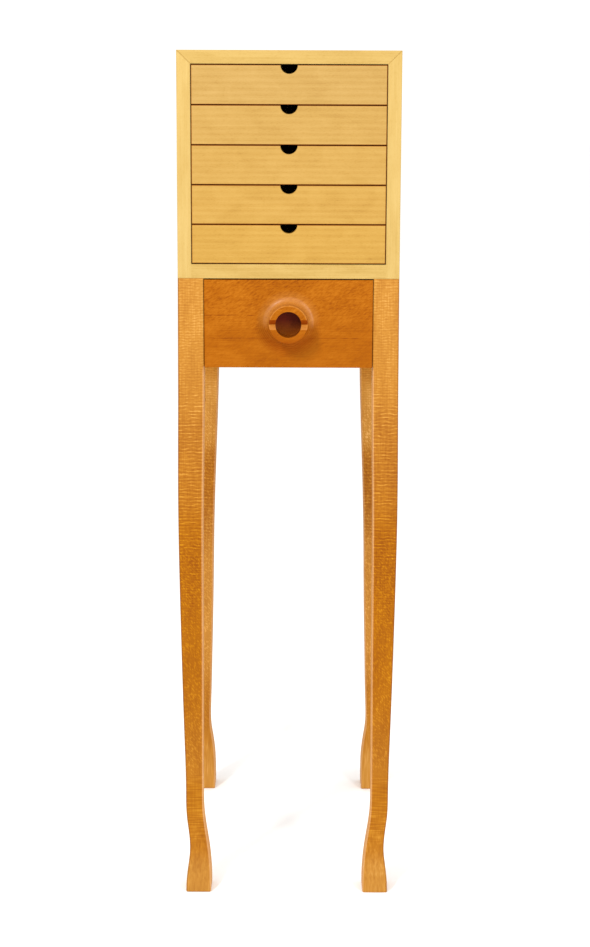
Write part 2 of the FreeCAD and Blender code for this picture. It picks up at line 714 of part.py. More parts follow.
def round_edges(body, radius, y, size):
    """Round the circular edges of one radius that lie in the plane of the given Y."""
    doc.recompute()
    tip = body.Tip
    feature = body.newObject("PartDesign::Fillet", f"{body.Name}_round")
    circles = edges_at(tip.Shape, length_of(y), Part.Circle)
    wanted = [name for name, edge in circles if abs(edge.Curve.Radius - length_of(radius)) < NEAR]
    feature.Base = (tip, wanted)
    bind(feature, "Radius", size)
    return feature


def deep_front():
    """The deep drawer's front with its pull, all carved from one board: a coved tube, bored blind,
    with a V groove across its end."""
    body = new_body("deep_drawer_front")
    pad(body, outline(body, "XZ", box_corners("0", DEEP_WIDTH, "0", "deep_height")), "deep_front")
    centre = [(f"{DEEP_WIDTH} / 2", PULL_RISE)]
    pad(body, rounds(body, "XZ", centre, "pull_radius"), "pull_reach", backwards=True)
    ease_front(body, Part.Line)
    round_edges(body, "pull_radius", "0", "cove_radius")
    round_edges(body, "pull_radius", "-pull_reach", "rim_radius")
    bore = rounds(body, "XZ", centre, "pull_bore", "-pull_reach - overrun")
    cut(body, bore, "bore_depth + overrun")
    slope = "(slot_width / 2 / slot_depth)"
    mouth = f"{slope} * (slot_depth + overrun)"
    groove = [
        ("-pull_reach + slot_depth", PULL_RISE),
        ("-pull_reach - overrun", f"{PULL_RISE} + {mouth}"),
        ("-pull_reach - overrun", f"{PULL_RISE} - {mouth}"),
    ]
    start = f"{DEEP_WIDTH} / 2 - pull_radius - overrun"
    cut(body, outline(body, "YZ", groove, start), "2 * pull_radius + 2 * overrun")
    high = f"{BEARING_LIFT} + {DEEP_SIDE_HEIGHT}"
    side_line = f"{DEEP_WIDTH} - deep_side"
    for x0, x1 in (("-overrun", "deep_side"), (side_line, f"{DEEP_WIDTH} + overrun")):
        rebate = outline(body, "XZ", box_corners(x0, x1, BEARING_LIFT, high), "deep_lap")
        cut(body, rebate, "deep_front - deep_lap + overrun")
    low = f"{BEARING_LIFT} + deep_panel_lift"
    slot = box_corners("deep_side", side_line, low, f"{low} + deep_panel + panel_play")
    start = "deep_front - deep_panel_groove"
    cut(body, outline(body, "XZ", slot, start), "deep_panel_groove + overrun")
    place(body, f"-{DEEP_WIDTH} / 2", FRONT_Y, DEEP_Z)
    return keep(body)


def deep_drawer():
    """The deep drawer: its carved front, sides lapped behind it, a back and a bottom panel."""
    deep_front()
    low_z = BEARING_Z
    left_x = f"-{DEEP_WIDTH} / 2"
    slot_top = "deep_panel_lift + deep_panel + panel_play"
    for side in ("left", "right"):
        board = new_body(f"deep_drawer_side_{side}")
        corners = [
            ("0", "0"),
            ("deep_side", "0"),
            ("deep_side", "deep_panel_lift"),
            ("deep_side - deep_panel_groove", "deep_panel_lift"),
            ("deep_side - deep_panel_groove", slot_top),
            ("deep_side", slot_top),
            ("deep_side", DEEP_SIDE_HEIGHT),
            ("0", DEEP_SIDE_HEIGHT),
        ]
        if side == "right":
            corners = [(f"deep_side - ({across})", up) for across, up in corners]
        pad(board, outline(board, "XZ", corners), f"{DEEP_LENGTH} - deep_lap")
        x = left_x if side == "left" else f"{DEEP_WIDTH} / 2 - deep_side"
        place(board, x, f"{FRONT_Y} + deep_lap", low_z)
        keep(board)
    inside = f"({DEEP_WIDTH} - 2 * deep_side)"
    back = new_body("deep_drawer_back")
    height = f"{DEEP_SIDE_HEIGHT} - deep_panel_lift - deep_panel"
    pad(back, outline(back, "XZ", box_corners("0", inside, "0", height)), "deep_back")
    y = f"{FRONT_Y} + {DEEP_LENGTH} - deep_back"
    place(back, f"-{inside} / 2", y, f"{low_z} + deep_panel_lift + deep_panel")
    keep(back)
    bottom = new_body("deep_drawer_bottom")
    lap = "(deep_panel_groove - panel_play)"
    width = f"{inside} + 2 * {lap}"
    length = f"{DEEP_LENGTH} - deep_front + {lap}"
    pad(bottom, outline(bottom, "XY", box_corners("0", width, "0", length)), "deep_panel")
    y = f"{FRONT_Y} + deep_front - {lap}"
    place(bottom, f"-{inside} / 2 - {lap}", y, f"{low_z} + deep_panel_lift")
    keep(bottom)


def screw(start, direction, shank_radius, shank_length, head_radius, head_thickness):
    """A plain screw: a flat head whose underside is at the start, and its shank beyond."""
    shank = Part.makeCylinder(shank_radius, shank_length, start, direction)
    head = Part.makeCylinder(head_radius, head_thickness, start, -direction)
    return shank.fuse(head).removeSplitter()


def group(label, solids):
    item = doc.addObject("Part::Feature", label)
    item.Shape = Part.makeCompound(solids)
    item.Label = label
    place(item, "0", FRONT_Y, "0")
    return keep(item)


def runner_screws():
    seat = length_of(f"{INNER_WIDTH} / 2 - {RUNNER_THICKNESS} + head_thickness")
    kind = [length_of(name) for name in ("shank_radius", "screw_length", "head_radius", "head_thickness")]
    base = length_of("stand_height")
    solids = []
    for row in range(DRAWERS):
        for y, z in runner_screw_places(row):
            for sign in (-1, 1):
                start = Vector(sign * seat, length_of(y), base + length_of(z))
                solids.append(screw(start, Vector(sign, 0, 0), *kind))
    return group("runner_screws", solids)


def case_screws():
    names = ("case_screw_radius", "case_screw_length", "case_head_radius", "case_head_thickness")
    kind = [length_of(name) for name in names]
    seat = length_of(f"{KICKER_Z} + case_head_recess")
    places = [Vector(length_of(x), length_of(y), seat) for x, y in CASE_SCREWS]
    return group("case_screws", [screw(start, Vector(0, 0, 1), *kind) for start in places])


for side_name in ("left", "right"):
    case_side(side_name)
case_top()
case_floor()
case_back()
for row_number in range(DRAWERS):
    for side_name in ("left", "right"):
        runner(row_number, side_name)
    small_drawer(row_number)
runner_screws()
for end_name in ("front", "rear"):
    for side_name in ("left", "right"):
        leg(end_name, side_name)
stand_frame()
for side_name in ("left", "right"):
    bearer(side_name)
    kicker(side_name)
deep_drawer()
case_screws()
doc.recompute()

for item in doc.Objects:
    if "Invalid" in item.State or "Error" in item.State:
        raise RuntimeError(f"{item.Name} failed: {item.State}")
for piece in pieces:
    if piece.Shape.isNull() or not piece.Shape.isValid():
        raise RuntimeError(f"{piece.Label} has no valid shape")

os.makedirs("parts", exist_ok=True)
for piece in pieces:
    piece.Shape.exportStep(f"parts/{piece.Label}.step")
print(f"{len(pieces)} pieces written")
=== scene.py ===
# %% [markdown]
# # A collector's cabinet on its stand
# The cabinet is a pale case of shallow drawers on a tall stand of figured wood. Its sizes and its
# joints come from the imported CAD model, which this script loads as a fixed frame. What is left to do
# is the looks: the softly rounded sawn legs, the carved front of the deep drawer, and the woods.

import math

import bmesh
import bpy
import numpy as np
from mathutils import Matrix, Vector


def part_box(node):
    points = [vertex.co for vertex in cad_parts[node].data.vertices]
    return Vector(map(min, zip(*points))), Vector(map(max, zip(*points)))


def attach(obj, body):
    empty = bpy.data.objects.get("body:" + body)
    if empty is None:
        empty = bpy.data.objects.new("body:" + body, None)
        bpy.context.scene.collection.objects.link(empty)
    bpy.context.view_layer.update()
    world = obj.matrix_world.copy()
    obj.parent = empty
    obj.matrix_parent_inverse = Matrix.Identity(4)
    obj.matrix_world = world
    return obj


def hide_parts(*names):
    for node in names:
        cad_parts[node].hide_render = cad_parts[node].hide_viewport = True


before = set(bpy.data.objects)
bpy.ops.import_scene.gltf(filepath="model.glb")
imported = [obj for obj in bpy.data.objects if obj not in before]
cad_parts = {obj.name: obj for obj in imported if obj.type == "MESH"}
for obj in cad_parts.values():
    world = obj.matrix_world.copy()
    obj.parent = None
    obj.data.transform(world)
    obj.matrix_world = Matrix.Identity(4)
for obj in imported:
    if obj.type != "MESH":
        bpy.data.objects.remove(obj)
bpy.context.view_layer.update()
MM = 0.001
CASE_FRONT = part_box("case_top")[0].y
print("case front lies at y =", round(CASE_FRONT, 4), "m")

# %% [markdown]
# ## A surface from a grid of points
# Most new pieces here are grids: rows along a path, columns around a section. A grid whose columns
# close on themselves is a tube, and a fan of triangles closes each end, so the piece is a solid shell
# with no open edge. One function turns such an array of points into a mesh.

# %% Grid of points to mesh
SHARP_EDGE = 35  # degrees: a steeper edge between two faces is drawn sharp


def tube_mesh(name, points):
    """points has the shape (rows, columns, 3). Faces join each point to its neighbours along the row
    and along the column, the last column joins the first, and the first and last rows are closed by a
    fan about their mean point."""
    rows, columns = points.shape[:2]
    number = np.arange(rows * columns).reshape(rows, columns)
    following = np.roll(number, -1, axis=1)
    quads = np.stack([number[:-1], following[:-1], following[1:], number[1:]], -1).reshape(-1, 4)
    low, high = rows * columns, rows * columns + 1
    low_fan = np.stack([following[0], number[0], np.full(columns, low)], -1)
    high_fan = np.stack([number[-1], following[-1], np.full(columns, high)], -1)
    corners = np.concatenate([points.reshape(-1, 3), points[:1].mean(1), points[-1:].mean(1)])
    mesh = bpy.data.meshes.new(name)
    mesh.from_pydata(corners.tolist(), [], quads.tolist() + low_fan.tolist() + high_fan.tolist())
    mesh.validate()
    return mesh


def turn_outwards(mesh):
    """Turns the whole shell inside out if the volume that its faces enclose comes out negative."""
    mesh.calc_loop_triangles()
    corners = np.empty(len(mesh.loop_triangles) * 3, int)
    mesh.loop_triangles.foreach_get("vertices", corners)
    places = np.empty(len(mesh.vertices) * 3)
    mesh.vertices.foreach_get("co", places)
    a, b, c = np.moveaxis(places.reshape(-1, 3)[corners].reshape(-1, 3, 3), 1, 0)
    if np.einsum("ij,ij->i", a, np.cross(b, c)).sum() < 0:
        mesh.flip_normals()


def add_piece(name, mesh, body, stands_for):
    """Puts the mesh in the scene, smooth but for its sharp edges, hangs it on the empty of the body it
    rides on, and hides the CAD node that it stands for."""
    turn_outwards(mesh)
    mesh.shade_smooth()
    mesh.set_sharp_from_angle(angle=math.radians(SHARP_EDGE))
    piece = bpy.data.objects.new(name, mesh)
    bpy.context.scene.collection.objects.link(piece)
    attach(piece, body)
    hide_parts(stands_for)
    return piece


# %% [markdown]
# ## The legs
# A real leg like this is bandsawn from a square blank, first to one template drawn on the front and
# then to another drawn on the side, and its long edges are rounded over by hand. The piece repeats
# that: two smooth curves give the faces seen from the front, two give the faces seen from the side,
# and a rounded rectangle is fitted between them at every height. The curves use the same shares of
# the leg's size as the CAD model does.

# %% Templates of the legs
STAND_HEIGHT = 1.0
CASE_HALF_WIDTH = 0.170
CASE_DEPTH = 0.490
LEG_DEPTH = 0.041
FACE_WIDTHS = {"front": 0.0395, "rear": 0.0435}
KNEE_HEIGHT = 0.862

# Height, then outer and inner edge as shares of the leg's width, inwards from the case side.
FACE_SHARES = {
    "front": [
        (0.862, -0.010, 1.000),
        (0.650, -0.050, 0.934),
        (0.430, 0.005, 0.896),
        (0.250, 0.100, 0.866),
        (0.162, 0.144, 0.856),
        (0.118, 0.172, 0.891),
        (0.066, 0.309, 1.089),
        (0.028, 0.205, 1.182),
        (0.000, 0.172, 1.195),
    ],
    "rear": [
        (0.862, -0.010, 1.000),
        (0.690, -0.040, 0.913),
        (0.510, -0.046, 0.777),
        (0.380, -0.020, 0.735),
        (0.250, 0.030, 0.674),
        (0.162, 0.046, 0.622),
        (0.125, 0.050, 0.625),
        (0.100, 0.080, 0.700),
        (0.073, 0.115, 0.768),
        (0.036, 0.080, 0.792),
        (0.000, 0.030, 0.785),
    ],
}
# The same from the side: shares of the leg's depth, inwards from the case front or the case back.
SIDE_SHARES = [
    (0.862, -0.090, 1.000),
    (0.650, 0.000, 0.963),
    (0.500, 0.220, 1.120),
    (0.350, 0.440, 1.270),
    (0.250, 0.560, 1.330),
    (0.162, 0.610, 1.317),
    (0.118, 0.585, 1.290),
    (0.066, 0.330, 1.170),
    (0.028, 0.035, 1.100),
    (0.012, -0.050, 1.080),
    (0.000, -0.073, 1.073),
]
points_of = {end: len(shares) for end, shares in FACE_SHARES.items()}
print("template points:", points_of, "from the front,", len(SIDE_SHARES), "from the side")

# %% [markdown]
# A template is drawn by bending a thin batten through marked points, and the pencil follows it. The
# function below bends a curve through the points in the same way, with no kink at any of them. A
# Blender curve object could do it too, but numbers follow the very points that the CAD model uses.


# %% Smooth curve through the template's points
def template_curve(shares, column, heights):
    """A cubic spline through the points, upright at both ends: on each span the curve is the cubic
    whose slopes at the points make the bend continuous, found from one small set of equations. Above
    the knee the edge runs straight to the square top of the post."""
    z = np.array([share[0] for share in shares])[::-1]
    v = np.array([share[column] for share in shares])[::-1]
    step = np.diff(z)
    rise = np.diff(v) / step
    count = len(z)
    system = np.eye(count)
    right = np.zeros(count)
    inner = np.arange(1, count - 1)
    system[inner, inner - 1] = step[1:]
    system[inner, inner] = 2 * (step[1:] + step[:-1])
    system[inner, inner + 1] = step[:-1]
    right[inner] = 3 * (step[1:] * rise[:-1] + step[:-1] * rise[1:])
    slope = np.linalg.solve(system, right)
    span = np.clip(np.searchsorted(z, heights) - 1, 0, count - 2)
    t = (heights - z[span]) / step[span]
    curve = (
        (1 + 2 * t) * (1 - t) ** 2 * v[span]
        + t * (1 - t) ** 2 * step[span] * slope[span]
        + t**2 * (3 - 2 * t) * v[span + 1]
        + t**2 * (t - 1) * step[span] * slope[span + 1]
    )
    square = {1: 0.0, 2: 1.0}[column]
    above = (heights - KNEE_HEIGHT) / (STAND_HEIGHT - KNEE_HEIGHT)
    return np.where(heights > KNEE_HEIGHT, v[-1] + (square - v[-1]) * above, curve)


ankle = [template_curve(FACE_SHARES["front"], column, np.array([0.118]))[0] for column in (1, 2)]
print("front ankle:", round((ankle[1] - ankle[0]) * FACE_WIDTHS["front"] / MM, 1), "mm wide")

# %% [markdown]
# At every height the leg is a rectangle whose corners are rounded over. A Bevel modifier could round
# them, but here the arc is part of the grid, so that it can grow smaller towards the sole.

# %% Rounded section between the curves
LEG_ARRIS = 0.0025
SOLE_ARRIS = 0.0022
ARC_STEPS = 7
HOLD = 0.0006  # distance from a rounded edge to the point that keeps the flat side flat


def rounded_section(x0, x1, y0, y1, radius):
    """Points around a rectangle with rounded corners, one row for each height. Each corner is a
    quarter circle, and each side has a point close to either end, which keeps its flat shading."""
    turn = np.linspace(0, np.pi / 2, ARC_STEPS)
    across, deep = [], []
    for quarter, (corner_x, corner_y, sx, sy) in enumerate(
        ((x1, y1, -1, -1), (x0, y1, 1, -1), (x0, y0, 1, 1), (x1, y0, -1, 1))
    ):
        angle = turn + quarter * np.pi / 2
        x = (corner_x + sx * radius)[:, None] + radius[:, None] * np.cos(angle)
        y = (corner_y + sy * radius)[:, None] + radius[:, None] * np.sin(angle)
        start, end = angle[0], angle[-1]
        across += [x[:, :1] + HOLD * np.sin(start), x, x[:, -1:] - HOLD * np.sin(end)]
        deep += [y[:, :1] - HOLD * np.cos(start), y, y[:, -1:] + HOLD * np.cos(end)]
    return np.stack([np.hstack(across), np.hstack(deep)], -1)


# %% [markdown]
# A leg is now a stack of such sections from the sole to the top of the post. Where the curve turns
# faster, at the foot, the rows lie closer. The sole's edge is eased, as a maker does it, so that the
# leg doesn't splinter when the cabinet is pushed along the floor.

# %% Legs from sole to post
FOOT_HEIGHT = 0.16
FOOT_ROWS, SHAFT_ROWS, POST_ROWS = 60, 130, 12


def leg_points(end, side):
    """The leg's surface as rows of height and columns around its section. Near the sole every row is
    drawn in along a quarter circle, so the foot stands on a softly rounded edge."""
    sole = SOLE_ARRIS * (1 - np.cos(np.linspace(0, np.pi / 2, ARC_STEPS)))
    foot = np.linspace(SOLE_ARRIS, FOOT_HEIGHT, FOOT_ROWS)[1:]
    shaft = np.linspace(FOOT_HEIGHT, KNEE_HEIGHT, SHAFT_ROWS)[1:]
    post = np.linspace(KNEE_HEIGHT, STAND_HEIGHT, POST_ROWS)[1:]
    heights = np.concatenate([sole, foot, shaft, post])
    below_arc = np.maximum(SOLE_ARRIS - heights, 0)
    inset = SOLE_ARRIS - np.sqrt(np.maximum(SOLE_ARRIS**2 - below_arc**2, 0))
    width = FACE_WIDTHS[end]
    sign = 1 if side == "right" else -1
    face = [CASE_HALF_WIDTH - width * template_curve(FACE_SHARES[end], n, heights) for n in (1, 2)]
    x0, x1 = (face[1], face[0]) if sign == 1 else (-face[0], -face[1])
    depth = [LEG_DEPTH * template_curve(SIDE_SHARES, n, heights) for n in (1, 2)]
    if end == "front":
        y0, y1 = CASE_FRONT + depth[0], CASE_FRONT + depth[1]
    else:
        back = CASE_FRONT + CASE_DEPTH
        y0, y1 = back - depth[1], back - depth[0]
    radius = LEG_ARRIS - 0.6 * inset  # the rounding grows smaller towards the sole
    section = rounded_section(x0 + inset, x1 - inset, y0 + inset, y1 - inset, radius)
    level = np.broadcast_to(heights[:, None, None], section.shape[:2] + (1,))
    return np.concatenate([section, level], -1)


legs = []
for end in ("front", "rear"):
    for side in ("left", "right"):
        name = f"leg_{end}_{side}"
        mesh = tube_mesh(f"sawn_{name}", leg_points(end, side))
        legs.append(add_piece(f"sawn_{name}", mesh, "cabinet", name))
        print(end, side, "leg:", len(mesh.polygons), "faces")

# %% [markdown]
# ## The carved front of the deep drawer
# The pull isn't stuck on: it is one piece with the drawer front, turned or carved from a thicker
# board. A short stout tube stands on a coved root, it is bored out, and a V groove is cut across its
# end. Seen from the tube's axis everything is a ring, so the front is made as rings around that axis:
# the first ring is the middle of the bore, the last ones spread out to the edges of the board.

# %% Sizes of the carved front
front_low, front_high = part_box("deep_drawer_front")
HALF_WIDTH = front_high.x
PULL_REACH = 0.030
PULL_RISE = 0.0024
PULL_Z = (front_low.z + front_high.z) / 2 + PULL_RISE
TUBE_RADIUS = 0.0295
BORE_RADIUS = 0.0197
BORE_FLOOR = -0.004
COVE = 0.011
RIM = 0.0015
INNER_RIM = 0.0007
GROOVE_HALF = 0.0075
GROOVE_DEPTH = 0.006
BOARD_ARRIS = 0.0008
LAP = 0.008
SPOKES = 320
SIDE_THICKNESS = 0.012
TINY = 1e-9  # keeps a division by the sine or cosine of a right angle from failing
print("pull axis at z =", round(PULL_Z, 4), "m")


# %% [markdown]
# The rings start as a turner's template: a radius and a depth for each of them. Where the edges are
# rounded the rings lie close together, so that the light runs round them without a kink.


# %% Profile of the pull
def pull_profile():
    """Radius and depth of each ring: out along the bore's floor, up its wall, over the end of the
    tube, down its outside and round the quarter circle of the cove on to the board. Depth counts
    backwards from the board's face, so it is negative on the pull."""
    quarter = np.linspace(0, np.pi / 2, 6)
    wall = np.linspace(BORE_FLOOR - INNER_RIM, -PULL_REACH + INNER_RIM, 26)
    outside = np.linspace(-PULL_REACH + RIM, -COVE, 26)
    cove = np.linspace(0, np.pi / 2, 18)[1:]
    floor = np.linspace(0.15, 1, 7) * (BORE_RADIUS - INNER_RIM)
    end = np.linspace(BORE_RADIUS + INNER_RIM, TUBE_RADIUS - RIM, 18)
    radius = [
        floor,
        BORE_RADIUS - INNER_RIM + INNER_RIM * np.sin(quarter[1:]),
        np.full(len(wall) - 1, BORE_RADIUS),
        BORE_RADIUS + INNER_RIM - INNER_RIM * np.cos(quarter[1:-1]),
        end,
        TUBE_RADIUS - RIM + RIM * np.sin(quarter[1:]),
        np.full(len(outside) - 1, TUBE_RADIUS),
        TUBE_RADIUS + COVE - COVE * np.cos(cove),
    ]
    depth = [
        np.full(len(floor), BORE_FLOOR),
        BORE_FLOOR - INNER_RIM + INNER_RIM * np.cos(quarter[1:]),
        wall[1:],
        -PULL_REACH + INNER_RIM - INNER_RIM * np.sin(quarter[1:-1]),
        np.full(len(end), -PULL_REACH),
        -PULL_REACH + RIM - RIM * np.cos(quarter[1:]),
        outside[1:],
        -COVE + COVE * np.sin(cove),
    ]
    return np.concatenate(radius), np.concatenate(depth)


print("rings on the pull:", len(pull_profile()[0]))

# %% [markdown]
# The V groove and the board's outline then change the rings. A Boolean cut could make the groove, but
# it leaves long thin triangles that shade badly. Pushing the rings' points back keeps the grid even.


# %% Rings from the bore to the board's edge
def carved_plate():
    """The front part of the board. Each ring of the pull is a circle, cut back where the V groove
    crosses it. Beyond the cove the rings change evenly from that circle to the board's outline, and
    the last ones go round the eased edge and back to the lap."""
    up, down = front_high.z - PULL_Z, PULL_Z - front_low.z
    corners = [math.atan2(z, x) for x in (HALF_WIDTH, -HALF_WIDTH) for z in (up, -down)]
    angle = np.unique(np.concatenate([np.linspace(-np.pi, np.pi, SPOKES + 1)[:-1], corners]))
    cos, sin = np.cos(angle), np.sin(angle)
    radius, depth = pull_profile()
    x, z = radius[:, None] * cos, radius[:, None] * sin
    flank = np.clip(1 - np.abs(z) / GROOVE_HALF, 0, 1) ** 1.25  # the power makes it a little hollow
    groove = np.where(np.abs(z) < GROOVE_HALF, -PULL_REACH + GROOVE_DEPTH * flank, -1)
    y = np.maximum(depth[:, None], groove)
    to_side = HALF_WIDTH / np.maximum(np.abs(cos), TINY)
    to_top_or_bottom = np.where(sin > 0, up, down) / np.maximum(np.abs(sin), TINY)
    reach = np.minimum(to_side, to_top_or_bottom)
    edge_x, edge_z = reach * cos, reach * sin
    all_round = np.zeros_like(angle)  # widens a single depth to every point of a ring
    # Twelve rings on the board lie wider near the cove, and one more holds the face flat at its edge.
    share = np.append(np.linspace(0, 1, 14)[1:-1] ** 0.8, 0.985)[:, None]
    rings = [(x, y, z)]
    inner_x = np.clip(edge_x, -HALF_WIDTH + BOARD_ARRIS, HALF_WIDTH - BOARD_ARRIS)
    inner_z = np.clip(edge_z, -down + BOARD_ARRIS, up - BOARD_ARRIS)
    rings.append(
        (x[-1] + share * (inner_x - x[-1]), 0 * share + all_round, z[-1] + share * (inner_z - z[-1]))
    )
    turn = np.linspace(0, np.pi / 2, 5)[:, None]
    inset = BOARD_ARRIS * (1 - np.sin(turn))
    rings.append(
        (
            np.clip(edge_x, -HALF_WIDTH + inset, HALF_WIDTH - inset),
            BOARD_ARRIS * (1 - np.cos(turn)) + all_round,
            np.clip(edge_z, -down + inset, up - inset),
        )
    )
    back = np.array([[BOARD_ARRIS + HOLD], [LAP]])
    rings.append((edge_x + 0 * back, back + all_round, edge_z + 0 * back))
    grid = [np.concatenate(part) for part in zip(*rings)]
    return np.stack([grid[0], CASE_FRONT + grid[1], PULL_Z + grid[2]], -1)


# %% [markdown]
# The drawer's sides are let in behind a lap at either end of the board. So the board is made as two
# closed shells that touch at the lap: the carved plate in front, and a plain block behind it. One
# mesh holds both, as the board is one piece.


# %% Block behind the lap
def back_block():
    """The rest of the board behind the lap: an outline as wide as the board above and below the
    drawer's sides and narrower between them, carried straight back to the board's full thickness."""
    side_low, side_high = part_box("deep_drawer_side_left")
    narrow = HALF_WIDTH - SIDE_THICKNESS
    right = [
        (HALF_WIDTH, front_low.z),
        (HALF_WIDTH, side_low.z),
        (narrow, side_low.z),
        (narrow, side_high.z),
        (HALF_WIDTH, side_high.z),
        (HALF_WIDTH, front_high.z),
    ]
    outline = np.array(right + [(-x, z) for x, z in right[::-1]])
    depth = np.array([CASE_FRONT + LAP, front_high.y])
    level = np.broadcast_to(outline[None], (2,) + outline.shape)
    across, height = level[..., 0], level[..., 1]
    points = np.stack([across, np.broadcast_to(depth[:, None], across.shape), height], -1)
    return tube_mesh("back_block", points)


def joined(name, meshes):
    """One mesh of several closed shells, each turned outwards first."""
    shell = bmesh.new()
    for mesh in meshes:
        turn_outwards(mesh)
        shell.from_mesh(mesh)
    whole = bpy.data.meshes.new(name)
    shell.to_mesh(whole)
    shell.free()
    return whole


carved = joined("carved_drawer_front", [tube_mesh("carved_plate", carved_plate()), back_block()])
carved_front = add_piece(
    "carved_drawer_front",
    carved,
    "deep_drawer",
    "deep_drawer_front",
)
print("carved front:", len(carved.polygons), "faces")

# %% [markdown]
# ## Woods
# Every wood here is one solid pattern in space, as real wood is: it is worked out in millimetres from
# the place inside the board, with the grain along one axis, so faces that meet at an edge agree. A
# pattern is a noise stretched along or across the grain. Several are added up to one tone, and a
# colour ramp turns that tone into the wood's colours. The same tone drives a little bump and gloss.
# A picture of wood could be laid on the boards, but it would not run on from the front of a board to
# its edge, and it could not change with the height on the leg. In the picture one pixel covers about
# 1.5 mm, so pores and growth lines finer than that are drawn coarser, 1.5 to 2 mm wide, or they
# would not show.


# %% Colours and nodes
def linear(hex_colour):
    """A hex sRGB colour as linear red, green, blue and alpha."""
    srgb = np.array([int(hex_colour[n : n + 2], 16) for n in (1, 3, 5)]) / 255
    value = np.where(srgb <= 0.04045, srgb / 12.92, ((srgb + 0.055) / 1.055) ** 2.4)
    return (*value.tolist(), 1.0)


def add(tree, kind, inputs=(), stops=(), points=(), **settings):
    """Adds one node. inputs maps a socket to a value or to the output that feeds it, stops are the
    places and hex colours of a colour ramp, and points are the places and levels of a curve."""
    node = tree.nodes.new(kind)
    for name, value in settings.items():
        setattr(node, name, value)
    for socket, value in dict(inputs).items():
        if isinstance(value, bpy.types.NodeSocket):
            tree.links.new(value, node.inputs[socket])
        else:
            node.inputs[socket].default_value = value
    for number, (place, colour) in enumerate(stops):
        ramp = node.color_ramp.elements
        stop = ramp[number] if number < len(ramp) else ramp.new(place)
        stop.position, stop.color = place, linear(colour)
    if points:
        line = node.mapping.curves[0].points
        line[0].location, line[1].location = points[0], points[-1]
        for place, level in points[1:-1]:
            line.new(place, level)
        node.mapping.update()
    return node


print("mid grey in linear light:", round(linear("#808080")[0], 3))

# %% [markdown]
# A wood's pattern needs a size in millimetres and a direction, or it would look like a toy. So the
# place is first turned until the grain runs along Z and counted in millimetres. A noise is then
# squeezed by its own size in each direction, which makes long streaks or short flecks of it.


# %% Patterns in millimetres
def wood_space(tree, along, shift=(0, 0, 0)):
    """The place in the board in millimetres, turned so that the grain runs along Z."""
    place = add(tree, "ShaderNodeTexCoord").outputs["Object"]
    split = add(tree, "ShaderNodeSeparateXYZ", {0: place}).outputs
    order = {"X": (1, 2, 0), "Y": (2, 0, 1), "Z": (0, 1, 2)}[along]
    turned = add(tree, "ShaderNodeCombineXYZ", {n: split[axis] for n, axis in enumerate(order)})
    placed = {"Vector": turned.outputs[0], "Location": shift, "Scale": (1 / MM,) * 3}
    return add(tree, "ShaderNodeMapping", placed).outputs[0]


def speckle(tree, space, size, low=0.35, high=0.65, detail=2.0, warp=0.0):
    """Noise with the given size in millimetres across, across and along the grain, stretched so that
    low turns to 0 and high to 1."""
    scaled = add(tree, "ShaderNodeMapping", {"Vector": space, "Scale": tuple(1 / s for s in size)})
    noise = add(
        tree,
        "ShaderNodeTexNoise",
        {"Vector": scaled.outputs[0], "Scale": 1.0, "Detail": detail, "Distortion": warp},
    )
    clipped = add(tree, "ShaderNodeMapRange", {0: noise.outputs[0], 1: low, 2: high}, clamp=True)
    return clipped.outputs[0]


# %% [markdown]
# A finish is one tone made of several patterns, each with its weight. Colour, gloss and relief all
# follow that tone, as they do in wood, where a dense dark streak takes the oil in its own way.


# %% From patterns to a finish
def total(tree, base, *parts):
    """The base plus the product of each part's factors."""
    for first, *others in parts:
        for factor in others[:-1]:
            first = add(tree, "ShaderNodeMath", {0: first, 1: factor}, operation="MULTIPLY").outputs[0]
        summed = {0: first, 1: others[-1], 2: base}
        base = add(tree, "ShaderNodeMath", summed, operation="MULTIPLY_ADD").outputs[0]
    return base


def blend(tree, base, *patterns):
    """A tone: the base plus each pattern, counted from its middle, times its weight and its zone."""
    parts = []
    for pattern, *factors in patterns:
        centred = add(tree, "ShaderNodeMath", {0: pattern, 1: 0.5}, operation="SUBTRACT")
        parts.append((centred.outputs[0], *factors))
    return total(tree, base, *parts)


GLOSS_CHANGE = 0.06


def finished(name, tone_of, stops, roughness, gloss, bump, overlays=(), metallic=0.0):
    """A finished wood or metal. tone_of builds the tone in the tree, and the ramp colours it. Lighter
    parts are a little less rough than darker ones, and lie higher by about the given bump in metres.
    gloss is the specular level or the function that builds it. Each overlay is the function for the
    share of another ramp, and that ramp."""
    material = bpy.data.materials.new(name)
    material.use_nodes = True
    tree = material.node_tree
    tree.nodes.clear()
    tone = tone_of(tree)
    colour = add(tree, "ShaderNodeValToRGB", {0: tone}, stops=stops).outputs[0]
    for share_of, other_stops in overlays:
        other = add(tree, "ShaderNodeValToRGB", {0: tone}, stops=other_stops).outputs[0]
        mixed = {0: share_of(tree), 6: colour, 7: other}
        colour = add(tree, "ShaderNodeMix", mixed, data_type="RGBA").outputs[2]
    rough = {0: tone, 3: roughness + GLOSS_CHANGE, 4: roughness - GLOSS_CHANGE}
    dull = add(tree, "ShaderNodeMapRange", rough, clamp=True)
    relief = add(tree, "ShaderNodeBump", {"Height": tone, "Distance": bump, "Strength": 0.6})
    shader = add(
        tree,
        "ShaderNodeBsdfPrincipled",
        {
            "Base Color": colour,
            "Roughness": dull.outputs[0],
            "Normal": relief.outputs[0],
            "IOR": 1.5,
            "Metallic": metallic,
            "Specular IOR Level": gloss(tree) if callable(gloss) else gloss,
        },
    )
    add(tree, "ShaderNodeOutputMaterial", {0: shader.outputs[0]})
    return material


# %% [markdown]
# ## The pale case wood
# The case is a white, close-grained wood such as quarter-sawn sycamore, planed and given a clear thin
# finish. The eye gets an even cream yellow with faint straight lines, and tiny flecks where the wood's
# rays come to the surface. The lines lie about 2 mm apart, the flecks are about 1.5 by 6 mm.


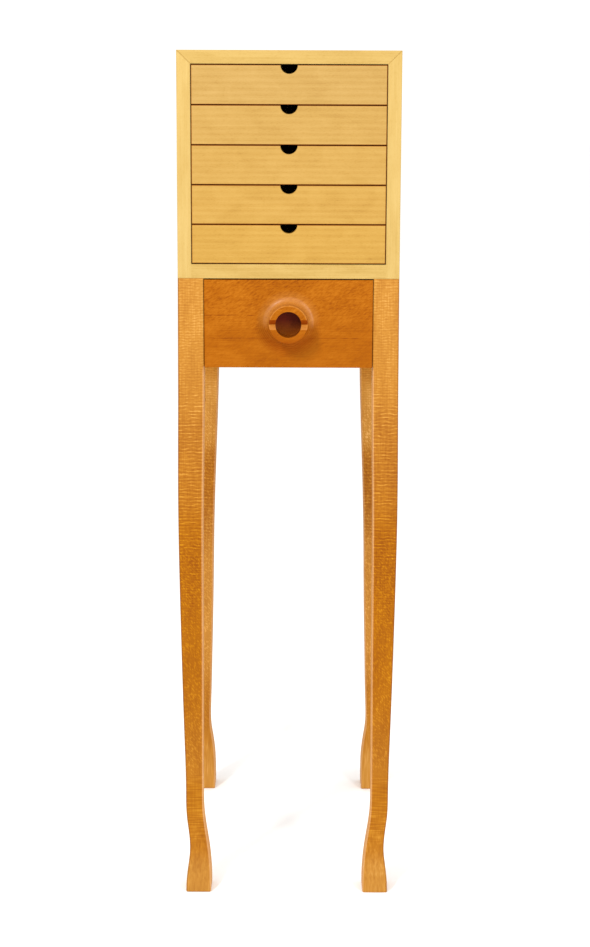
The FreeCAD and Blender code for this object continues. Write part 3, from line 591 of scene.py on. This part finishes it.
# %% Pale sycamore
def sycamore(name, along, base, shift=(0, 0, 0)):
    def tone(tree):
        space = wood_space(tree, along, shift)
        lines = speckle(tree, space, (1.8, 1.8, 140), 0.3, 0.7, 3)
        cloud = speckle(tree, space, (16, 16, 70), 0.3, 0.7, 1, 0.6)
        fleck = speckle(tree, space, (1.4, 2.0, 6), 0.5, 0.8, 1)
        return blend(tree, base, (lines, 0.18), (cloud, 0.18), (fleck, -0.14))

    stops = [(0.1, "#9d7b37"), (0.5, "#b19251"), (0.95, "#bfa466")]
    return finished(name, tone, stops, 0.42, 0.15, 0.00006)


case_upright = sycamore("planed_sycamore_upright", "Z", 0.52)
case_across = sycamore("planed_sycamore_across", "X", 0.4, (40, 15, 300))
print("case woods:", case_upright.name, case_across.name)

# %% [markdown]
# ## The golden drawer fronts
# A front is a thin slice of a trunk, and the soft bands along it are growth rings cut at a flat
# angle. So the rings are drawn about the trunk's axis, far behind the board, and the board cuts them
# by itself. Stretched noise would give bands too, but they would not close into long loops. Where a
# finish follows a piece's own shape, a band picks out the places between two limits.


# %% Growth rings and limits
def growth_rings(tree, space, centre, spacing, warp, warp_size):
    """Growth rings about an axis along the grain through the centre, so many millimetres apart: the
    sine of the distance from the axis. Its angle strays by up to warp radians, over some three times
    warp_size millimetres across the grain and 25 times as far along it."""
    moved = add(tree, "ShaderNodeVectorMath", {0: space, 1: centre}, operation="SUBTRACT").outputs[0]
    stretched = add(tree, "ShaderNodeVectorMath", {0: moved, 1: (1, 1, 0.04)}, operation="MULTIPLY")
    wave = add(
        tree,
        "ShaderNodeTexWave",
        {
            "Vector": stretched.outputs[0],
            "Scale": math.tau / 20 / spacing,
            "Distortion": warp,
            "Detail": 2.0,
            "Detail Scale": spacing / warp_size,
        },
        wave_type="RINGS",
        rings_direction="Z",
    )
    return wave.outputs["Fac"]


def from_point(tree, centre):
    """The three distances from a point, along X, Y and Z, in metres."""
    place = add(tree, "ShaderNodeTexCoord").outputs["Object"]
    moved = add(tree, "ShaderNodeVectorMath", {0: place, 1: centre}, operation="SUBTRACT")
    return add(tree, "ShaderNodeSeparateXYZ", {0: moved.outputs[0]}).outputs


def band(tree, value, low, high, soft):
    """1 where the value lies from low to high, falling to 0 over the soft width beyond either."""
    rising = add(tree, "ShaderNodeMapRange", {0: value, 1: low - soft, 2: low}, clamp=True)
    falling = add(tree, "ShaderNodeMapRange", {0: value, 1: high + soft, 2: high}, clamp=True)
    both = {0: rising.outputs[0], 1: falling.outputs[0]}
    return add(tree, "ShaderNodeMath", both, operation="MULTIPLY").outputs[0]


# %% [markdown]
# The drawer fronts are a smooth fruitwood such as pear: a deeper gold, so fine that it shows no pores,
# only soft wavy bands along the board, 9 mm apart, and a faint mottle. Each drawer's number moves the
# pattern to another part of the plank, so no two fronts match, and each front is a little deeper in
# colour than the one above. A brown line about 1 mm wide round each front is painted shade, where the
# gap to its neighbours lies in shadow.

# %% Golden pear
GAP_SHADE_WIDTH = 1.1 * MM
GAP_SHADE_REACH = 3 * MM


def gap_shade_line(low, high):
    """Painted shade of the gap round a front: 1 at the outline of a front with these corners, falling
    to
    0 over the line's width. The edges behind the outline have it for a short reach only."""

    def share(tree):
        place = from_point(tree, (0, 0, 0))
        sides = [
            band(tree, place[axis], low[axis] + GAP_SHADE_WIDTH, high[axis] - GAP_SHADE_WIDTH, GAP_SHADE_WIDTH)
            for axis in (0, 2)
        ]
        outline = total(tree, 1.0, (*sides, -1.0))
        return total(tree, 0.0, (outline, band(tree, place[1], -1.0, low[1] + GAP_SHADE_REACH, GAP_SHADE_WIDTH)))

    return share


def pear(row, name, shift):
    def tone(tree):
        space = wood_space(tree, "X", shift)
        bands = growth_rings(tree, space, (160, 25, 0), 9, 9, 60)
        lines = speckle(tree, space, (1.7, 1.7, 60), 0.3, 0.7, 3, 0.3)
        cloud = speckle(tree, space, (14, 30, 45), 0.3, 0.7, 2, 0.8)
        dash = speckle(tree, space, (1.4, 1.4, 4), 0.5, 0.8, 1)
        return blend(tree, 0.5, (bands, 0.14), (lines, 0.15), (cloud, 0.2), (dash, -0.2))

    pale = [(0.1, "#936d32"), (0.5, "#a58244"), (0.95, "#b29054")]
    deep = [(0.1, "#956c29"), (0.5, "#a98138"), (0.95, "#b58f47")]
    # This brown ramp paints the shade in the gap round the front.
    edge = [(0.0, "#843a02"), (1.0, "#964804")]
    overlays = [
        (lambda tree: (row - 1) / 4, deep),
        (gap_shade_line(*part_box(f"drawer_{row}_front")), edge),
    ]
    return finished(name, tone, pale, 0.4, 0.15, 0.00005, overlays)


front_wood = [
    pear(row, f"polished_pear_{row}", (row * 37.0, row * 11.0, row * 520.0)) for row in range(1, 6)
]
print("drawer front woods:", len(front_wood))

# %% [markdown]
# ## The figured wood of the stand
# The legs are a warm orange-brown wood with several kinds of figure, because the curve of the leg cuts
# the blank at a changing angle. In the upper half the fibres run in waves, and the sawn face shows a
# ripple: thin bright lines across the grain, 4.3 mm apart and broken like a weave, with bolder ones
# 6 mm apart below the knee. Further down the face lies close to the rays and shows small slanting
# flecks. Above the ankle lie fine lines across the grain, some 2 mm thick, and the foot has only soft
# streaks along it. Painted shade makes the leg a deeper brown between the knee and the foot. It is
# sawn, scraped and oiled, which gives a dull sheen, and a painted sheen makes the sides that face the
# other legs paler.

# %% Colours and heights of the leg's figure
LIGHT_LEG = [(0.0, "#935a1c"), (0.5, "#af7930"), (1.0, "#d4a35d")]
REAR_LEG = [(0.0, "#9c6220"), (0.5, "#ba8338"), (1.0, "#e0ae6a")]
# The next three ramps paint the leg's shade, a pale sheen on its inner sides and the shade on its outer
# arris.
SHADED_LEG = [(0.0, "#824401"), (0.5, "#9e5e01"), (1.0, "#bf8212")]
SHEEN_LEG = [(0.0, "#b88250"), (1.0, "#d0a26e")]
SHADED_ARRIS_LEG = [(0.0, "#6b3c14"), (1.0, "#85501f")]
LEG_STOPS = {"front": LIGHT_LEG, "rear": REAR_LEG}

# Height in metres, then the share of the ramp that paints the leg's shade. Near the top of a rear
# leg it paints the shadow of the deep drawer.
LEG_SHADE = {
    "front": [
        (0.0, 0.0), (0.03, 0.05), (0.073, 0.75), (0.115, 0.85), (0.157, 0.9),
        (0.2, 0.73), (0.24, 0.78), (0.32, 0.95), (0.4, 1.0), (0.575, 0.99),
        (0.65, 0.75), (0.745, 0.52), (0.86, 0.27), (1.0, 0.1),
    ],
    "rear": [
        (0.0, 0.2), (0.026, 0.2), (0.076, 0.45), (0.147, 0.7), (0.24, 0.35), (0.33, 0.15),
        (0.5, 0.35), (0.6, 0.75), (0.66, 0.15), (0.72, 0.0), (0.8, 0.6), (1.0, 0.8),
    ],
}

# Where each figure starts and ends, and the width over which it fades. A rear leg shows no lines
# across, so theirs lie above it.
LEG_ZONES = {
    "front": {
        "ripple": (0.58, 0.78, 0.08),
        "weave": (0.5, 1.1, 0.12),
        "fleck": (0.22, 0.56, 0.05),
        "across": (0.09, 0.18, 0.02),
        "streak": (-0.1, 0.07, 0.06),
    },
    "rear": {
        "ripple": (0.5, 0.62, 0.05),
        "weave": (0.75, 1.1, 0.1),
        "fleck": (0.15, 0.7, 0.05),
        "across": (2.0, 3.0, 0.1),
        "streak": (-0.1, 0.1, 0.06),
    },
}
REAR_KNOT = (-0.1534, 0.217, 0.7347)
KNOT_EDGE, KNOT_CORE = 3.8 * MM, 1.2 * MM
print("leg colours set at", {end: len(tone) for end, tone in LEG_SHADE.items()}, "heights")

# %% [markdown]
# Three more things change the leg's colour: painted shade that changes with the height, a painted
# sheen on the sides that face the other legs, and painted shade on the outer arris. Each is a share
# from 0 to 1 that mixes in another ramp. Painting them on the mesh by hand would do as well, but a
# share worked out from the place and the direction of the surface needs no extra data.


# %% Shares of the leg's other colours
def leg_shade_share(end):
    """The share of the ramp that paints the leg's shade at each height, as one smooth curve."""
    return lambda tree: add(
        tree, "ShaderNodeFloatCurve", {"Value": from_point(tree, (0, 0, 0))[2]}, points=LEG_SHADE[end]
    ).outputs[0]


def sideways(tree):
    """How far the surface turns away from the middle of the stand, in metres: the part of its normal
    along X times its place along X. It is below 0 on the sides that face the other legs. The height
    comes with it."""
    facing = add(tree, "ShaderNodeNewGeometry").outputs["Normal"]
    normal_x = add(tree, "ShaderNodeSeparateXYZ", {0: facing}).outputs[0]
    place = from_point(tree, (0, 0, 0))
    turned = add(tree, "ShaderNodeMath", {0: normal_x, 1: place[0]}, operation="MULTIPLY").outputs[0]
    return turned, place[2]


def leg_sheen_share(tree):
    """Painted sheen: the sides that face the other legs are painted paler than the front, for the white
    studio that they reflect, all the way up to the deep drawer. The share rises round the arris."""
    turned, height = sideways(tree)
    facing_in = {0: turned, 1: -0.010, 2: -0.065, 4: 0.9}
    inner = add(tree, "ShaderNodeMapRange", facing_in, clamp=True).outputs[0]
    return total(tree, 0.0, (inner, band(tree, height, -1.0, 0.856, 0.008)))


def arris_shade_share(tree):
    """Painted shade on the outer arris of each leg, which turns away from the light."""
    turned, _ = sideways(tree)
    return total(tree, 0.0, (band(tree, turned, 0.045, 0.115, 0.025), 0.45))


def leg_gloss(tree):
    """The specular level: a thin oil finish on the front, and none on the sides whose paler colour
    paints their sheen.
    """
    return total(tree, 0.08, (leg_sheen_share(tree), -0.088))


def knot_share(tree, centre):
    """1 in the knot's core, 0 beyond its edge. Depth is left out, and height counts two thirds, so the
    knot is an upright oval."""
    place = add(tree, "ShaderNodeTexCoord").outputs["Object"]
    moved = add(tree, "ShaderNodeVectorMath", {0: place, 1: centre}, operation="SUBTRACT").outputs[0]
    flat = add(tree, "ShaderNodeVectorMath", {0: moved, 1: (1, 0, 0.66)}, operation="MULTIPLY")
    length = add(tree, "ShaderNodeVectorMath", {0: flat.outputs[0]}, operation="LENGTH")
    away = {0: length.outputs["Value"], 1: KNOT_EDGE, 2: KNOT_CORE}
    return add(tree, "ShaderNodeMapRange", away, clamp=True).outputs[0]


# %% [markdown]
# The ripple is a wave texture, because noise alone gives no even spacing, and a speckle breaks it up.
# The other kinds of figure are noises, and each shows only between its own heights. The tone of the
# rear left leg also has a small dark knot, where a twig grew out of the trunk.

# %% Rippled stand wood
FLECK_SLANT = math.radians(36)


def ripple_lines(tree, space, spacing, sway, sway_size, low=0.0):
    """Bright lines across the grain, so many millimetres apart: the sine of the place along the grain.
    Its angle sways by up to the given radians over sway_size millimetres. A higher low makes the
    lines thinner."""
    wave = add(
        tree,
        "ShaderNodeTexWave",
        {
            "Vector": space,
            "Scale": math.tau / 20 / spacing,
            "Distortion": sway,
            "Detail": 1.0,
            "Detail Scale": 20 / math.tau * spacing / sway_size,
        },
        wave_type="BANDS",
        bands_direction="Z",
    )
    return add(tree, "ShaderNodeMapRange", {0: wave.outputs["Fac"], 1: low}, clamp=True).outputs[0]


def ripple_wood(name, along, shift, stops=LIGHT_LEG, overlays=(), zones=None, knot=None):
    """The stand's wood. zones are the heights between which each figure of a leg shows, and knot is
    the middle of a small dark knot. An apron has neither, and shows the ripple everywhere."""

    def tone(tree):
        space = wood_space(tree, along, shift)
        height = from_point(tree, (0, 0, 0))[2]
        glint = speckle(tree, space, (13, 13, 5), 0.2, 0.62, 1)
        ripple = total(tree, 0.0, (ripple_lines(tree, space, 6.0, 4.0, 17, 0.5), glint))
        mottle = speckle(tree, space, (5, 5, 2.0), 0.3, 0.7, 1, 0.3)
        lines = speckle(tree, space, (1.8, 1.8, 60), 0.3, 0.7, 3)
        cloud = speckle(tree, space, (24, 24, 90), 0.3, 0.7, 2, 0.5)
        figures = [(lines, 0.2), (cloud, 0.22)]
        if not zones:
            return blend(tree, 0.5, (ripple, 0.3), (mottle, 0.25), *figures)
        weave = blend(tree, 0.5, (ripple_lines(tree, space, 4.3, 4.0, 14), glint, 0.7), (mottle, 0.6))
        leaning = {"Vector": space, "Rotation": (0, FLECK_SLANT, 0)}
        slanted = add(tree, "ShaderNodeMapping", leaning).outputs[0]
        fleck = speckle(tree, slanted, (1.9, 1.9, 4.6), 0.48, 0.72, 0)
        across = speckle(tree, space, (30, 30, 1.9), 0.3, 0.7, 0, 0.2)
        streak = speckle(tree, space, (3.2, 3.2, 90), 0.3, 0.7, 1)
        kinds = {
            "ripple": (ripple, 0.42),
            "weave": (weave, 0.36),
            "fleck": (fleck, 0.34),
            "across": (across, 0.36),
            "streak": (streak, 0.25),
        }
        for kind, (pattern, weight) in kinds.items():
            figures.append((pattern, weight, band(tree, height, *zones[kind])))
        figured = blend(tree, 0.45, *figures)
        if not knot:
            return figured
        return total(tree, figured, (knot_share(tree, knot), -1.2))

    return finished(name, tone, stops, 0.5, leg_gloss, 0.00010, overlays)


leg_wood = {
    f"{end}_{side}": ripple_wood(
        f"rippled_leg_{end}_{side}",
        "Z",
        shift,
        LEG_STOPS[end],
        [(leg_shade_share(end), SHADED_LEG), (leg_sheen_share, SHEEN_LEG), (arris_shade_share, SHADED_ARRIS_LEG)],
        LEG_ZONES[end],
        knot,
    )
    for end, side, shift, knot in (
        ("front", "left", (0, 0, 0), None),
        ("front", "right", (90, 0, 700), None),
        ("rear", "left", (0, 70, 1500), REAR_KNOT),
        ("rear", "right", (50, 90, 2300), None),
    )
}
apron_long = ripple_wood("rippled_apron_side", "Y", (30, 10, 90))
apron_cross = ripple_wood("rippled_apron_cross", "X", (20, 50, 40))
print("stand woods:", len(leg_wood) + 2)

# %% [markdown]
# ## The deep drawer's front
# This board is the reddest piece. Its figure is a slanting mottle, strongest in the upper half, with
# two broken dark lines along the grain, each 1 to 2 mm thick. Round the foot of the pull the carving
# cuts through the growth layers, so they show as rings 2.7 mm apart that flow on below it. Painted
# shade darkens the bore, the groove's upper flank and the cove under the tube, and painted light makes
# the top of the cove and the groove's lower flank paler; fingers have polished the top of the cove to
# a higher gloss. Each of these is worked out from the place about the pull's axis.

# %% Places about the pull
FADE = 0.4 * MM  # over this width a finish changes at the edges of the carving


def about_pull(tree):
    """How far the place lies to the right of the pull's axis, above it and away from it, in metres."""
    x, _, z = from_point(tree, (0, 0, PULL_Z))
    flat = add(tree, "ShaderNodeCombineXYZ", {0: x, 2: z})
    away = add(tree, "ShaderNodeVectorMath", {0: flat.outputs[0]}, operation="LENGTH")
    return x, z, away.outputs["Value"]


def bore_shade_share(tree):
    """Painted shade: 1 in the bore, much less at its lower side, which faces the light."""
    _, z, away = about_pull(tree)
    bore = band(tree, away, -1.0, BORE_RADIUS, FADE)
    upwards = {0: z, 1: -0.018, 2: 0.005, 3: 0.35, 4: 1.0}
    dark = add(tree, "ShaderNodeMapRange", upwards, clamp=True).outputs[0]
    return total(tree, 0.0, (bore, dark))


def recess_shade_share(tree):
    """Painted shade: 1 on the groove's upper flank, which faces down, most of it in the gap at the
    board's outline and half under the tube.
    """
    _, z, away = about_pull(tree)
    groove = band(tree, z, 0.0002, GROOVE_HALF - 0.0003, FADE)
    tube_end = band(tree, away, BORE_RADIUS + FADE, TUBE_RADIUS, FADE)
    under = band(tree, away, TUBE_RADIUS, 0.042, 0.014)
    low = add(tree, "ShaderNodeMapRange", {0: z, 1: 0.0, 2: -0.03}, clamp=True).outputs[0]
    outline = gap_shade_line(front_low, front_high)(tree)
    return total(tree, 0.0, (groove, tube_end, 1.0), (under, low, 0.6), (outline, 0.8))


def lower_flank(tree, z, away):
    """The two factors that pick out the groove's lower flank on the end of the tube."""
    flank = band(tree, z, -GROOVE_HALF, -0.0003, 0.0003)
    return flank, band(tree, away, BORE_RADIUS, TUBE_RADIUS, FADE)


def cove_gloss(tree):
    """The specular level: a thin oil finish, more on the upper part of the cove and on the groove's
    lower flank, where fingers rub it, and hardly any in the bore and on the groove's upper flank."""
    _, z, away = about_pull(tree)
    ring = band(tree, away, TUBE_RADIUS + 0.001, TUBE_RADIUS + 0.8 * COVE, 0.002)
    upper = add(tree, "ShaderNodeMapRange", {0: z, 1: -0.010, 2: 0.006}, clamp=True).outputs[0]
    flank = lower_flank(tree, z, away)
    return total(tree, 0.05, (ring, upper, 0.22), (*flank, 0.1), (recess_shade_share(tree), -0.045))


def cove_light_share(tree):
    """Painted light: a paler colour, most on the top of the tube and its cove, and on the groove's
    lower flank, which face up towards the lamps."""
    _, z, away = about_pull(tree)
    cove = band(tree, away, TUBE_RADIUS - RIM, TUBE_RADIUS + 0.5 * COVE, 1.4 * COVE)
    from_rim = {0: away, 1: TUBE_RADIUS - RIM}
    outside = add(tree, "ShaderNodeMath", from_rim, operation="GREATER_THAN").outputs[0]
    upper = add(tree, "ShaderNodeMapRange", {0: z, 1: -0.012, 2: 0.004}, clamp=True).outputs[0]
    return total(tree, 0.0, (cove, outside, upper, 0.6), (*lower_flank(tree, z, away), 0.6))


# %% [markdown]
# The mottle is a noise turned a little off the grain, finer below and bolder above. The rings are the
# sine of the distance from the pull, shaken by a slow noise, because a carver's cut never follows the
# layers evenly. The same slow noise bends the two dark lines, and a speckle leaves gaps in them.

# %% Mottled drawer front
MOTTLE_SLANT = math.radians(28)
LAYER_SPACING = 2.7 * MM
LAYER_WOBBLE = 14.0  # radians
DARK_LINES = (11.3 * MM, -24.1 * MM)  # their lower edges over the pull's axis
DARK_LINE, LINE_FADE, LINE_SWAY = 0.8 * MM, 0.6 * MM, 2 * MM


def mottled_front(name):
    def tone(tree):
        space = wood_space(tree, "X", (0, 0, 0))
        leaning = {"Vector": space, "Rotation": (MOTTLE_SLANT, 0, 0)}
        tilted = add(tree, "ShaderNodeMapping", leaning).outputs[0]
        mottle = speckle(tree, tilted, (6, 3.0, 10), 0.3, 0.7, 2, 0.5)
        tick = speckle(tree, tilted, (2.4, 1.5, 5), 0.42, 0.72, 1, 0.3)
        lines = speckle(tree, space, (2.0, 1.5, 40), 0.3, 0.7, 3, 0.4)
        cloud = speckle(tree, space, (30, 30, 80), 0.3, 0.7, 1, 0.8)
        x, z, away = about_pull(tree)
        place = add(tree, "ShaderNodeTexCoord").outputs["Object"]
        slow = {"Vector": place, "Scale": 45.0, "Detail": 1.0}
        wobble = add(tree, "ShaderNodeTexNoise", slow).outputs[0]
        turns = total(tree, 0.0, (away, math.tau / LAYER_SPACING), (wobble, LAYER_WOBBLE))
        layer = add(tree, "ShaderNodeMath", {0: turns}, operation="SINE").outputs[0]
        near = band(tree, away, TUBE_RADIUS + 0.0005, 0.038, 0.020)
        off_tube = {0: away, 1: TUBE_RADIUS}
        outside = add(tree, "ShaderNodeMath", off_tube, operation="GREATER_THAN").outputs[0]
        below = add(tree, "ShaderNodeMapRange", {0: z, 1: 0.012, 2: -0.016}, clamp=True).outputs[0]
        layers = (layer, near, outside, below, 0.2)
        strong = add(tree, "ShaderNodeMapRange", {0: z, 1: -0.02, 2: 0.02, 3: 0.5, 4: 1.15}).outputs[0]
        figures = ((mottle, strong, 0.22), (tick, strong, -0.26), (lines, 0.2), (cloud, 0.22))
        bent = total(tree, z, (wobble, LINE_SWAY))
        upper, lower = [band(tree, bent, low, low + DARK_LINE, LINE_FADE) for low in DARK_LINES]
        left = band(tree, x, -1.0, -0.06, 0.02)
        clear = band(tree, away, 0.045, 1.0, 0.008)
        broken = speckle(tree, space, (3, 3, 11), 0.4, 0.6, 1)
        dark_lines = ((upper, left, broken, -0.45), (lower, clear, broken, -0.3))
        return total(tree, blend(tree, 0.5, *figures), layers, *dark_lines)

    stops = [(0.0, "#703102"), (0.5, "#934f04"), (0.9, "#a76212"), (1.0, "#b46f1c")]
    # The next three ramps paint shade in the recesses and the bore, and light on the top of the cove.
    dark = [(0.0, "#762e04"), (1.0, "#883c06")]
    bored = [(0.0, "#54170a"), (1.0, "#681f0c")]
    painted_light = [(0.0, "#a4621c"), (1.0, "#bd7e38")]
    overlays = [(cove_light_share, painted_light), (recess_shade_share, dark), (bore_shade_share, bored)]
    return finished(name, tone, stops, 0.4, cove_gloss, 0.00006, overlays)


deep_front_wood = mottled_front("mottled_drawer_front")
print("deep front wood:", len(deep_front_wood.node_tree.nodes), "nodes")

# %% [markdown]
# ## The hidden woods and the screws
# Drawer sides and bottoms are a plain pale wood left as planed, a little duller than the outside.
# Runners are a harder, browner wood rubbed with wax. The screws are turned steel: bright, with fine
# scratches. Real scratches are far too fine to show, so they are drawn 0.5 mm wide and 3 mm long.


# %% Plain wood, runner wood and steel
def plain_wood(name, along, stops, shift=(0, 0, 0)):
    def tone(tree):
        space = wood_space(tree, along, shift)
        lines = speckle(tree, space, (1.8, 1.8, 120), 0.3, 0.7, 3)
        layers = growth_rings(tree, space, (60, 90, 0), 5, 5, 40)
        cloud = speckle(tree, space, (20, 20, 70), 0.3, 0.7, 1)
        return blend(tree, 0.5, (lines, 0.3), (layers, 0.16), (cloud, 0.2))

    return finished(name, tone, stops, 0.55, 0.3, 0.00008)


LINING = [(0.1, "#9c7846"), (0.5, "#b0925e"), (0.95, "#c2a878")]
RUNNER = [(0.1, "#845c30"), (0.5, "#997341"), (0.95, "#ad8a58")]
lining = {
    axis: plain_wood(f"planed_lining_{axis.lower()}", axis, LINING, (7, 3, 50)) for axis in "XYZ"
}
runner_wood = {
    axis: plain_wood(f"waxed_runner_{axis.lower()}", axis, RUNNER, (70, 30, 0)) for axis in "XY"
}


def turned_steel(name):
    def tone(tree):
        space = wood_space(tree, "X")
        scratch = speckle(tree, space, (0.5, 0.5, 3), 0.3, 0.7, 2)
        return blend(tree, 0.5, (scratch, 0.4))

    return finished(name, tone, [(0.1, "#8f8f90"), (0.9, "#b4b4b2")], 0.35, 0.5, 0.00002, metallic=1.0)


screw_steel = turned_steel("turned_steel")
print("hidden materials:", len(lining) + len(runner_wood) + 1)

# %% [markdown]
# Every CAD node needs a finish, the hidden ones too, because a drawer may be pulled out or a part used
# again elsewhere. The grain of a board runs along its length, as a maker cuts it, so the node's name
# tells both its wood and its direction.


# %% Give every node its finish
def finish_of(node):
    """The material for a CAD node or a piece, by its name and by which way its board runs."""
    words = node.split("_")
    if "screws" in words:
        return screw_steel
    if node in ("case_side_left", "case_side_right"):
        return case_upright
    if node in ("case_top", "case_floor"):
        return case_across
    if node == "case_back":
        return lining["Z"]
    if words[0] in ("runner", "bearer", "kicker"):
        return runner_wood["Y"]
    if node in ("side_apron_left", "side_apron_right"):
        return apron_long
    if node == "back_apron":
        return apron_cross
    if words[-1] == "rail":
        return runner_wood["X"]
    if words[0] == "leg":
        return leg_wood["_".join(words[1:])]
    if node == "deep_drawer_front":
        return deep_front_wood
    if words[-1] == "front":
        return front_wood[int(words[1]) - 1]
    return lining["Y" if "side" in words else "X"]


for node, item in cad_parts.items():
    item.data.materials.clear()
    item.data.materials.append(finish_of(node))
for piece in legs:
    piece.data.materials.append(leg_wood[piece.name.replace("sawn_leg_", "")])
carved_front.data.materials.append(deep_front_wood)
print(len(bpy.data.materials), "materials")

# %% [markdown]
# ## Floor, light and camera
# The studio is all white. Its pale floor has no edge in sight and hardly any gloss, so the feet stand
# on it with a faint shadow only, and it stays out of the exported part.


# %% Floor
def pale_floor():
    """A wide disc of rings and spokes, flat at z = 0: each ring's points are its radius times the
    cosine and sine of the spokes' angles."""
    angle = np.linspace(0, 2 * np.pi, 97)[:-1]
    radius = np.array([0.02, 0.5, 2.0, 8.0, 40.0])[:, None]
    points = np.stack([radius * np.cos(angle), radius * np.sin(angle), 0 * radius * angle], -1)
    count = len(angle)
    number = np.arange(points.shape[0] * count).reshape(points.shape[0], count)
    following = np.roll(number, -1, axis=1)
    quads = np.stack([number[:-1], number[1:], following[1:], following[:-1]], -1).reshape(-1, 4)
    mesh = bpy.data.meshes.new("pale_floor")
    mesh.from_pydata(points.reshape(-1, 3).tolist(), [], quads.tolist() + [number[0].tolist()])
    item = bpy.data.objects.new("pale_floor", mesh)
    bpy.context.scene.collection.objects.link(item)
    material = bpy.data.materials.new("painted_floor")
    material.use_nodes = True
    tree = material.node_tree
    tree.nodes.clear()
    place = add(tree, "ShaderNodeTexCoord").outputs["Object"]
    cloud = add(tree, "ShaderNodeTexNoise", {"Vector": place, "Scale": 3.0})
    stops = [(0.3, "#f9f9f8"), (0.7, "#fbfbfa")]
    colour = add(tree, "ShaderNodeValToRGB", {0: cloud.outputs[0]}, stops=stops)
    shader = add(
        tree,
        "ShaderNodeBsdfPrincipled",
        {"Base Color": colour.outputs[0], "Roughness": 0.9, "Specular IOR Level": 0.1},
    )
    add(tree, "ShaderNodeOutputMaterial", {0: shader.outputs[0]})
    mesh.materials.append(material)
    return item


pale_floor()

# %% [markdown]
# A white surrounding lights everything evenly. Two large soft lamps add shape, one high on the left
# and one on the right, level with the drawers. Their reflections draw the cove of the pull.

# %% Light
world = bpy.data.worlds.new("white_studio")
world.use_nodes = True
world.node_tree.nodes["Background"].inputs[0].default_value = (1, 1, 1, 1)
world.node_tree.nodes["Background"].inputs[1].default_value = 1.08
bpy.context.scene.world = world


def soft_lamp(name, place, target, size, power):
    """A rectangular lamp at a place, turned to face the target. size is its width and height."""
    data = bpy.data.lights.new(name, "AREA")
    data.shape = "RECTANGLE"
    data.size, data.size_y = size
    data.energy = power
    lamp = bpy.data.objects.new(name, data)
    lamp.location = place
    lamp.rotation_euler = (Vector(target) - Vector(place)).to_track_quat("-Z", "Y").to_euler()
    bpy.context.scene.collection.objects.link(lamp)


DRAWER_FRONT = (0, -0.25, 0.95)
soft_lamp("left_softbox", (-1.1, -1.82, 2.5), DRAWER_FRONT, (0.3, 0.7), 39)
soft_lamp("right_softbox", (1.28, -2.13, 1.3), DRAWER_FRONT, (0.35, 1.6), 24)

# %% [markdown]
# The camera stands 2.8 m in front of the case, almost as high as its top, and looks down by ten
# degrees. Its place came from fitting the corners of the case, the drawer lines and the feet. The
# vertical shift puts the picture's middle below the camera's axis, as cropping a photograph does.

# %% Camera
FOCAL_PIXELS = 1850.0
PICTURE_LONG_SIDE = 947
CENTRE_ROW = 413  # the row of the picture that the camera's axis meets
CAMERA_X, CAMERA_DISTANCE, CAMERA_HEIGHT = 0.0115, 2.8273, 1.2946  # distance from the case front
PITCH, YAW, ROLL = np.radians([10.097, 0.017, 0.215])
forward = Vector((-math.sin(YAW) * math.cos(PITCH), math.cos(YAW) * math.cos(PITCH), -math.sin(PITCH)))
level_right = Vector((math.cos(YAW), math.sin(YAW), 0))
level_up = level_right.cross(forward)
right = math.cos(ROLL) * level_right + math.sin(ROLL) * level_up
up = math.cos(ROLL) * level_up - math.sin(ROLL) * level_right

lens = bpy.data.cameras.new("camera")
lens.sensor_width = 36.0
lens.lens = FOCAL_PIXELS * lens.sensor_width / PICTURE_LONG_SIDE
lens.shift_y = -(PICTURE_LONG_SIDE / 2 - CENTRE_ROW) / PICTURE_LONG_SIDE
lens.clip_start, lens.clip_end = 0.1, 100
camera = bpy.data.objects.new("camera", lens)
place = Matrix.Translation((CAMERA_X, CASE_FRONT - CAMERA_DISTANCE, CAMERA_HEIGHT))
camera.matrix_world = place @ Matrix((right, up, -forward)).transposed().to_4x4()
bpy.context.scene.collection.objects.link(camera)
bpy.context.scene.camera = camera
bpy.context.scene.view_settings.view_transform = "Standard"
print("lens", round(lens.lens, 1), "mm, shift", round(lens.shift_y, 4))
